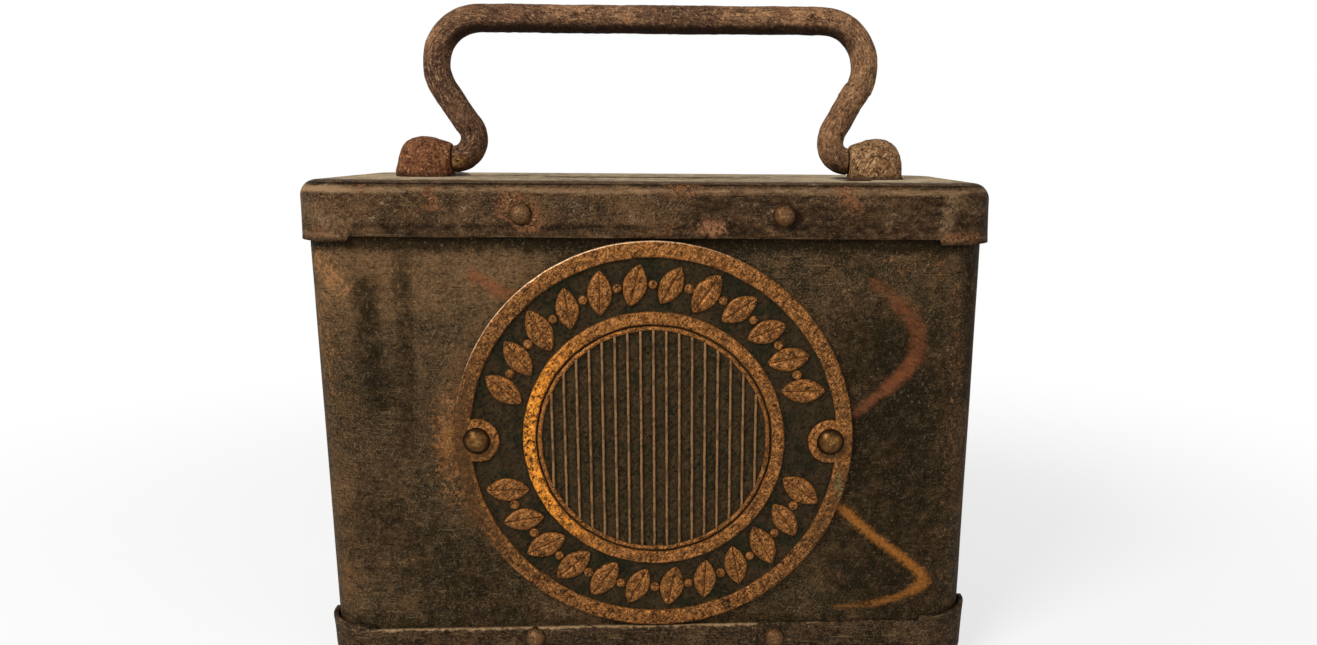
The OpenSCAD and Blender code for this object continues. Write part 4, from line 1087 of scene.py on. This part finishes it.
# Rusted forged rod: brown with red-brown and dark pits, tan where a hand has rubbed it, with
# painted shade on its underside and on the pins in the ears.
rod_rust = aged("forged_rod_brown_rust", "#5a3e2b", 0.82, [
    coat("#7b553a", 7, 0.44, 0.6, 0.8, 0.7),
    coat("#3e2a1e", 2.8, 0.48, 0.6, 0.75, 0.75),
    coat("#ad7f58", 1.8, 0.2, 0.9, 0.85, 0.9, where=("tan", 4)),
    coat("#3a2320", 1.4, 0.3, 0.9, 0.75, 0.85, where=("dull", 2.4)),
    coat("#a06a2a", 0.9, 0.35, 1, 0.7, 0.75, where=("gold", 1.8)),
    coat("#a07a58", 0.9, 0.52, 0.6, 0.6, 0.9, rise=0.03),
    coat("#b88e64", 0.35, 0.55, 0.62, 0.5, 0.8, rise=0.02),
    coat("#1e110a", 0.45, 0.5, 0.58, 0.65, 0.9, rise=-0.04),
    coat("#c4996c", 0.28, 0.56, 0.62, 0.55, 0.8, on="along", stretch=(7, 1, 1)),
    coat("#26160e", 0.32, 0.53, 0.6, 0.7, 0.8, on="along", stretch=(8, 1, 1), rise=-0.03),
    coat("#d0a67c", 0.22, 0.6, 0.66, 0.6, on="along", stretch=(5, 1, 1), turn=(0, 0, 28)),
    coat("#1a0f08", 1, 0.58, 0.65, 0.8, 0.75, rise=-0.1),
    # Painted shade on the underside and on the pins in the ears.
    coat("#180d06", 1, 0.15, 0.75, 0.88, 0.75, where=("under", 1)),
], shine=0.1)
handle = piece("handle_rod", handle_mesh, rod_rust, sharp=60)
handle.data.attributes.new("along", "FLOAT_VECTOR", "POINT").data.foreach_set(
    "vector", straightened)
strokes(handle, 2, tan=[
    (4, 0.5, (-16, 107), (-4, 107)), (3, 0.5, (12, 107.5), (18, 107)),
    (8, 0.57, (27, 107), (33, 104), (36, 99), (34, 92), (31, 87)),
    (3, 0.4, (-33, 107), (-36.5, 101)), (2, 0.4, (-33.5, 92), (-31, 88)),
])
# Painted shade: darker where the rod faces down, most under the bar, and nearly black on the pins
# between the feet and the ears.
mask(handle, "under", lambda p, n: (-1.3 * n.z - 0.1) * (p.z > 96) + 0.7 * -n.z * (p.z < 96) + (
    0.9 * (abs(p.x) > foot_x + 0.12) * (p.z < 88)))
strokes(handle, 2, dull=[
    (5, 0.75, (-35.5, 98), (-31, 88.5), (-31.5, 84)), (3.5, 0.5, (-33, 104), (-35.5, 98)),
    (2, 0.4, (30, 86), (31, 83.5)), (3, 0.5, (-26, 107), (-18, 106)),
    (2.5, 0.4, (4, 106), (10, 106)),
], gold=[
    (1.8, 0.8, (-33.6, 82), (-32, 82.6)), (1.2, 0.4, (-34, 105), (-36, 100)),
])
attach(handle, "handle")
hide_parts("handle")


# The coin chute and the ears' plates under the lid, and the trapdoor's frame and strike plate in
# the base: bare steel sheet, riveted in. No varnish ever reached them, and they have only greyed
# and caught a little rust.
def dress(finish, *names):
    """Gives CAD solids whose shape is right as they are their finish."""
    for name in names:
        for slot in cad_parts[name].material_slots:
            slot.material = finish


inside_steel = aged("bare_sheet_steel_dulled", "#6a645b", 0.5, [
    coat("#57514a", 6, 0.45, 0.6, 0.8),
    coat("#7d776c", 0.4, 0.52, 0.62, 0.6, stretch=(14, 1, 1)),
    coat("#6a452e", 1.6, 0.58, 0.68, 0.8, rough=0.85, metal=0.1, rise=0.02),
    coat("#2e2822", 0.6, 0.6, 0.68, 0.8, rough=0.8),
], metal=0.7, shine=0.4)
dress(inside_steel, "coin_chute", "chute_rivets", "ear_plates", "door_frame", "frame_rivets",
      "strike_plate")

# The trapdoor: a plain japanned plate that closes the base flush, scuffed by every table it has
# stood on, with the keyhole cut through it.
scuffed_steel = aged("japanned_door_scuffed", "#2e2720", 0.6, [
    coat("#42362a", 12, 0.45, 0.6, 0.8),
    coat("#6f6352", 0.5, 0.58, 0.66, 0.7, stretch=(1, 22, 1), turn=(0, 0, 35), rough=0.4,
         metal=0.5, rise=-0.01),
    coat("#6f6352", 0.4, 0.6, 0.68, 0.6, stretch=(20, 1, 1), turn=(0, 0, 12), rough=0.4, metal=0.5,
         rise=-0.01),
    coat("#5e3b27", 3, 0.58, 0.68, 0.8, rough=0.85, rise=0.02),
    coat("#17120e", 0.5, 0.56, 0.63, 0.7, 0.8, rise=-0.03),
], shine=0.3)
dress(scuffed_steel, "trapdoor")

# The hinge: two leaves of sheet steel rolled into knuckles round a drawn wire pin, greased and
# dark, with paler streaks where they rub. The lock's leaf spring is as bright as the pin.
hinge_steel = aged("rolled_hinge_steel", "#57504a", 0.45, [
    coat("#3e3730", 3, 0.46, 0.6, 0.8),
    coat("#6d4a33", 0.9, 0.58, 0.66, 0.7, rough=0.8, metal=0.1),
    coat("#837b70", 0.4, 0.58, 0.66, 0.6, stretch=(1, 12, 1)),
], metal=0.75, shine=0.4)
wire_steel = aged("drawn_wire_steel", "#8a857c", 0.35, [
    coat("#6d675f", 0.8, 0.5, 0.62, 0.7, stretch=(8, 1, 1)),
    coat("#5c4332", 0.6, 0.6, 0.68, 0.7, rough=0.7, metal=0.3),
], metal=0.9, shine=0.5)
dress(hinge_steel, "base_hinge_leaf", "base_leaf_rivets", "door_hinge_leaf", "door_leaf_rivets")
dress(wire_steel, "hinge_pin", "detent_spring")

# The lock: a pressed steel case on its plate inside the trapdoor, with a cast brass hub that
# the key turns and a brass bolt, both streaked brighter where they slide.
case_steel = aged("pressed_case_steel", "#5f574c", 0.5, [
    coat("#4a4238", 4, 0.46, 0.6, 0.8),
    coat("#75502f", 1.2, 0.58, 0.66, 0.7, rough=0.85, metal=0.1),
    coat("#867d6e", 0.4, 0.58, 0.66, 0.5, stretch=(12, 1, 1)),
], metal=0.7, shine=0.4)
lock_brass = aged("cast_brass_dull", "#a3803f", 0.38, [
    coat("#846430", 1.5, 0.46, 0.6, 0.8),
    coat("#c4a45c", 0.4, 0.56, 0.64, 0.6, stretch=(1, 10, 1)),
    coat("#3f2f18", 0.5, 0.6, 0.68, 0.8, rough=0.7, rise=-0.02),
], metal=0.9, shine=0.5)
dress(case_steel, "lock_plate", "lock_case", "lock_rivets")
dress(lock_brass, "lock_bolt", "key_hub")
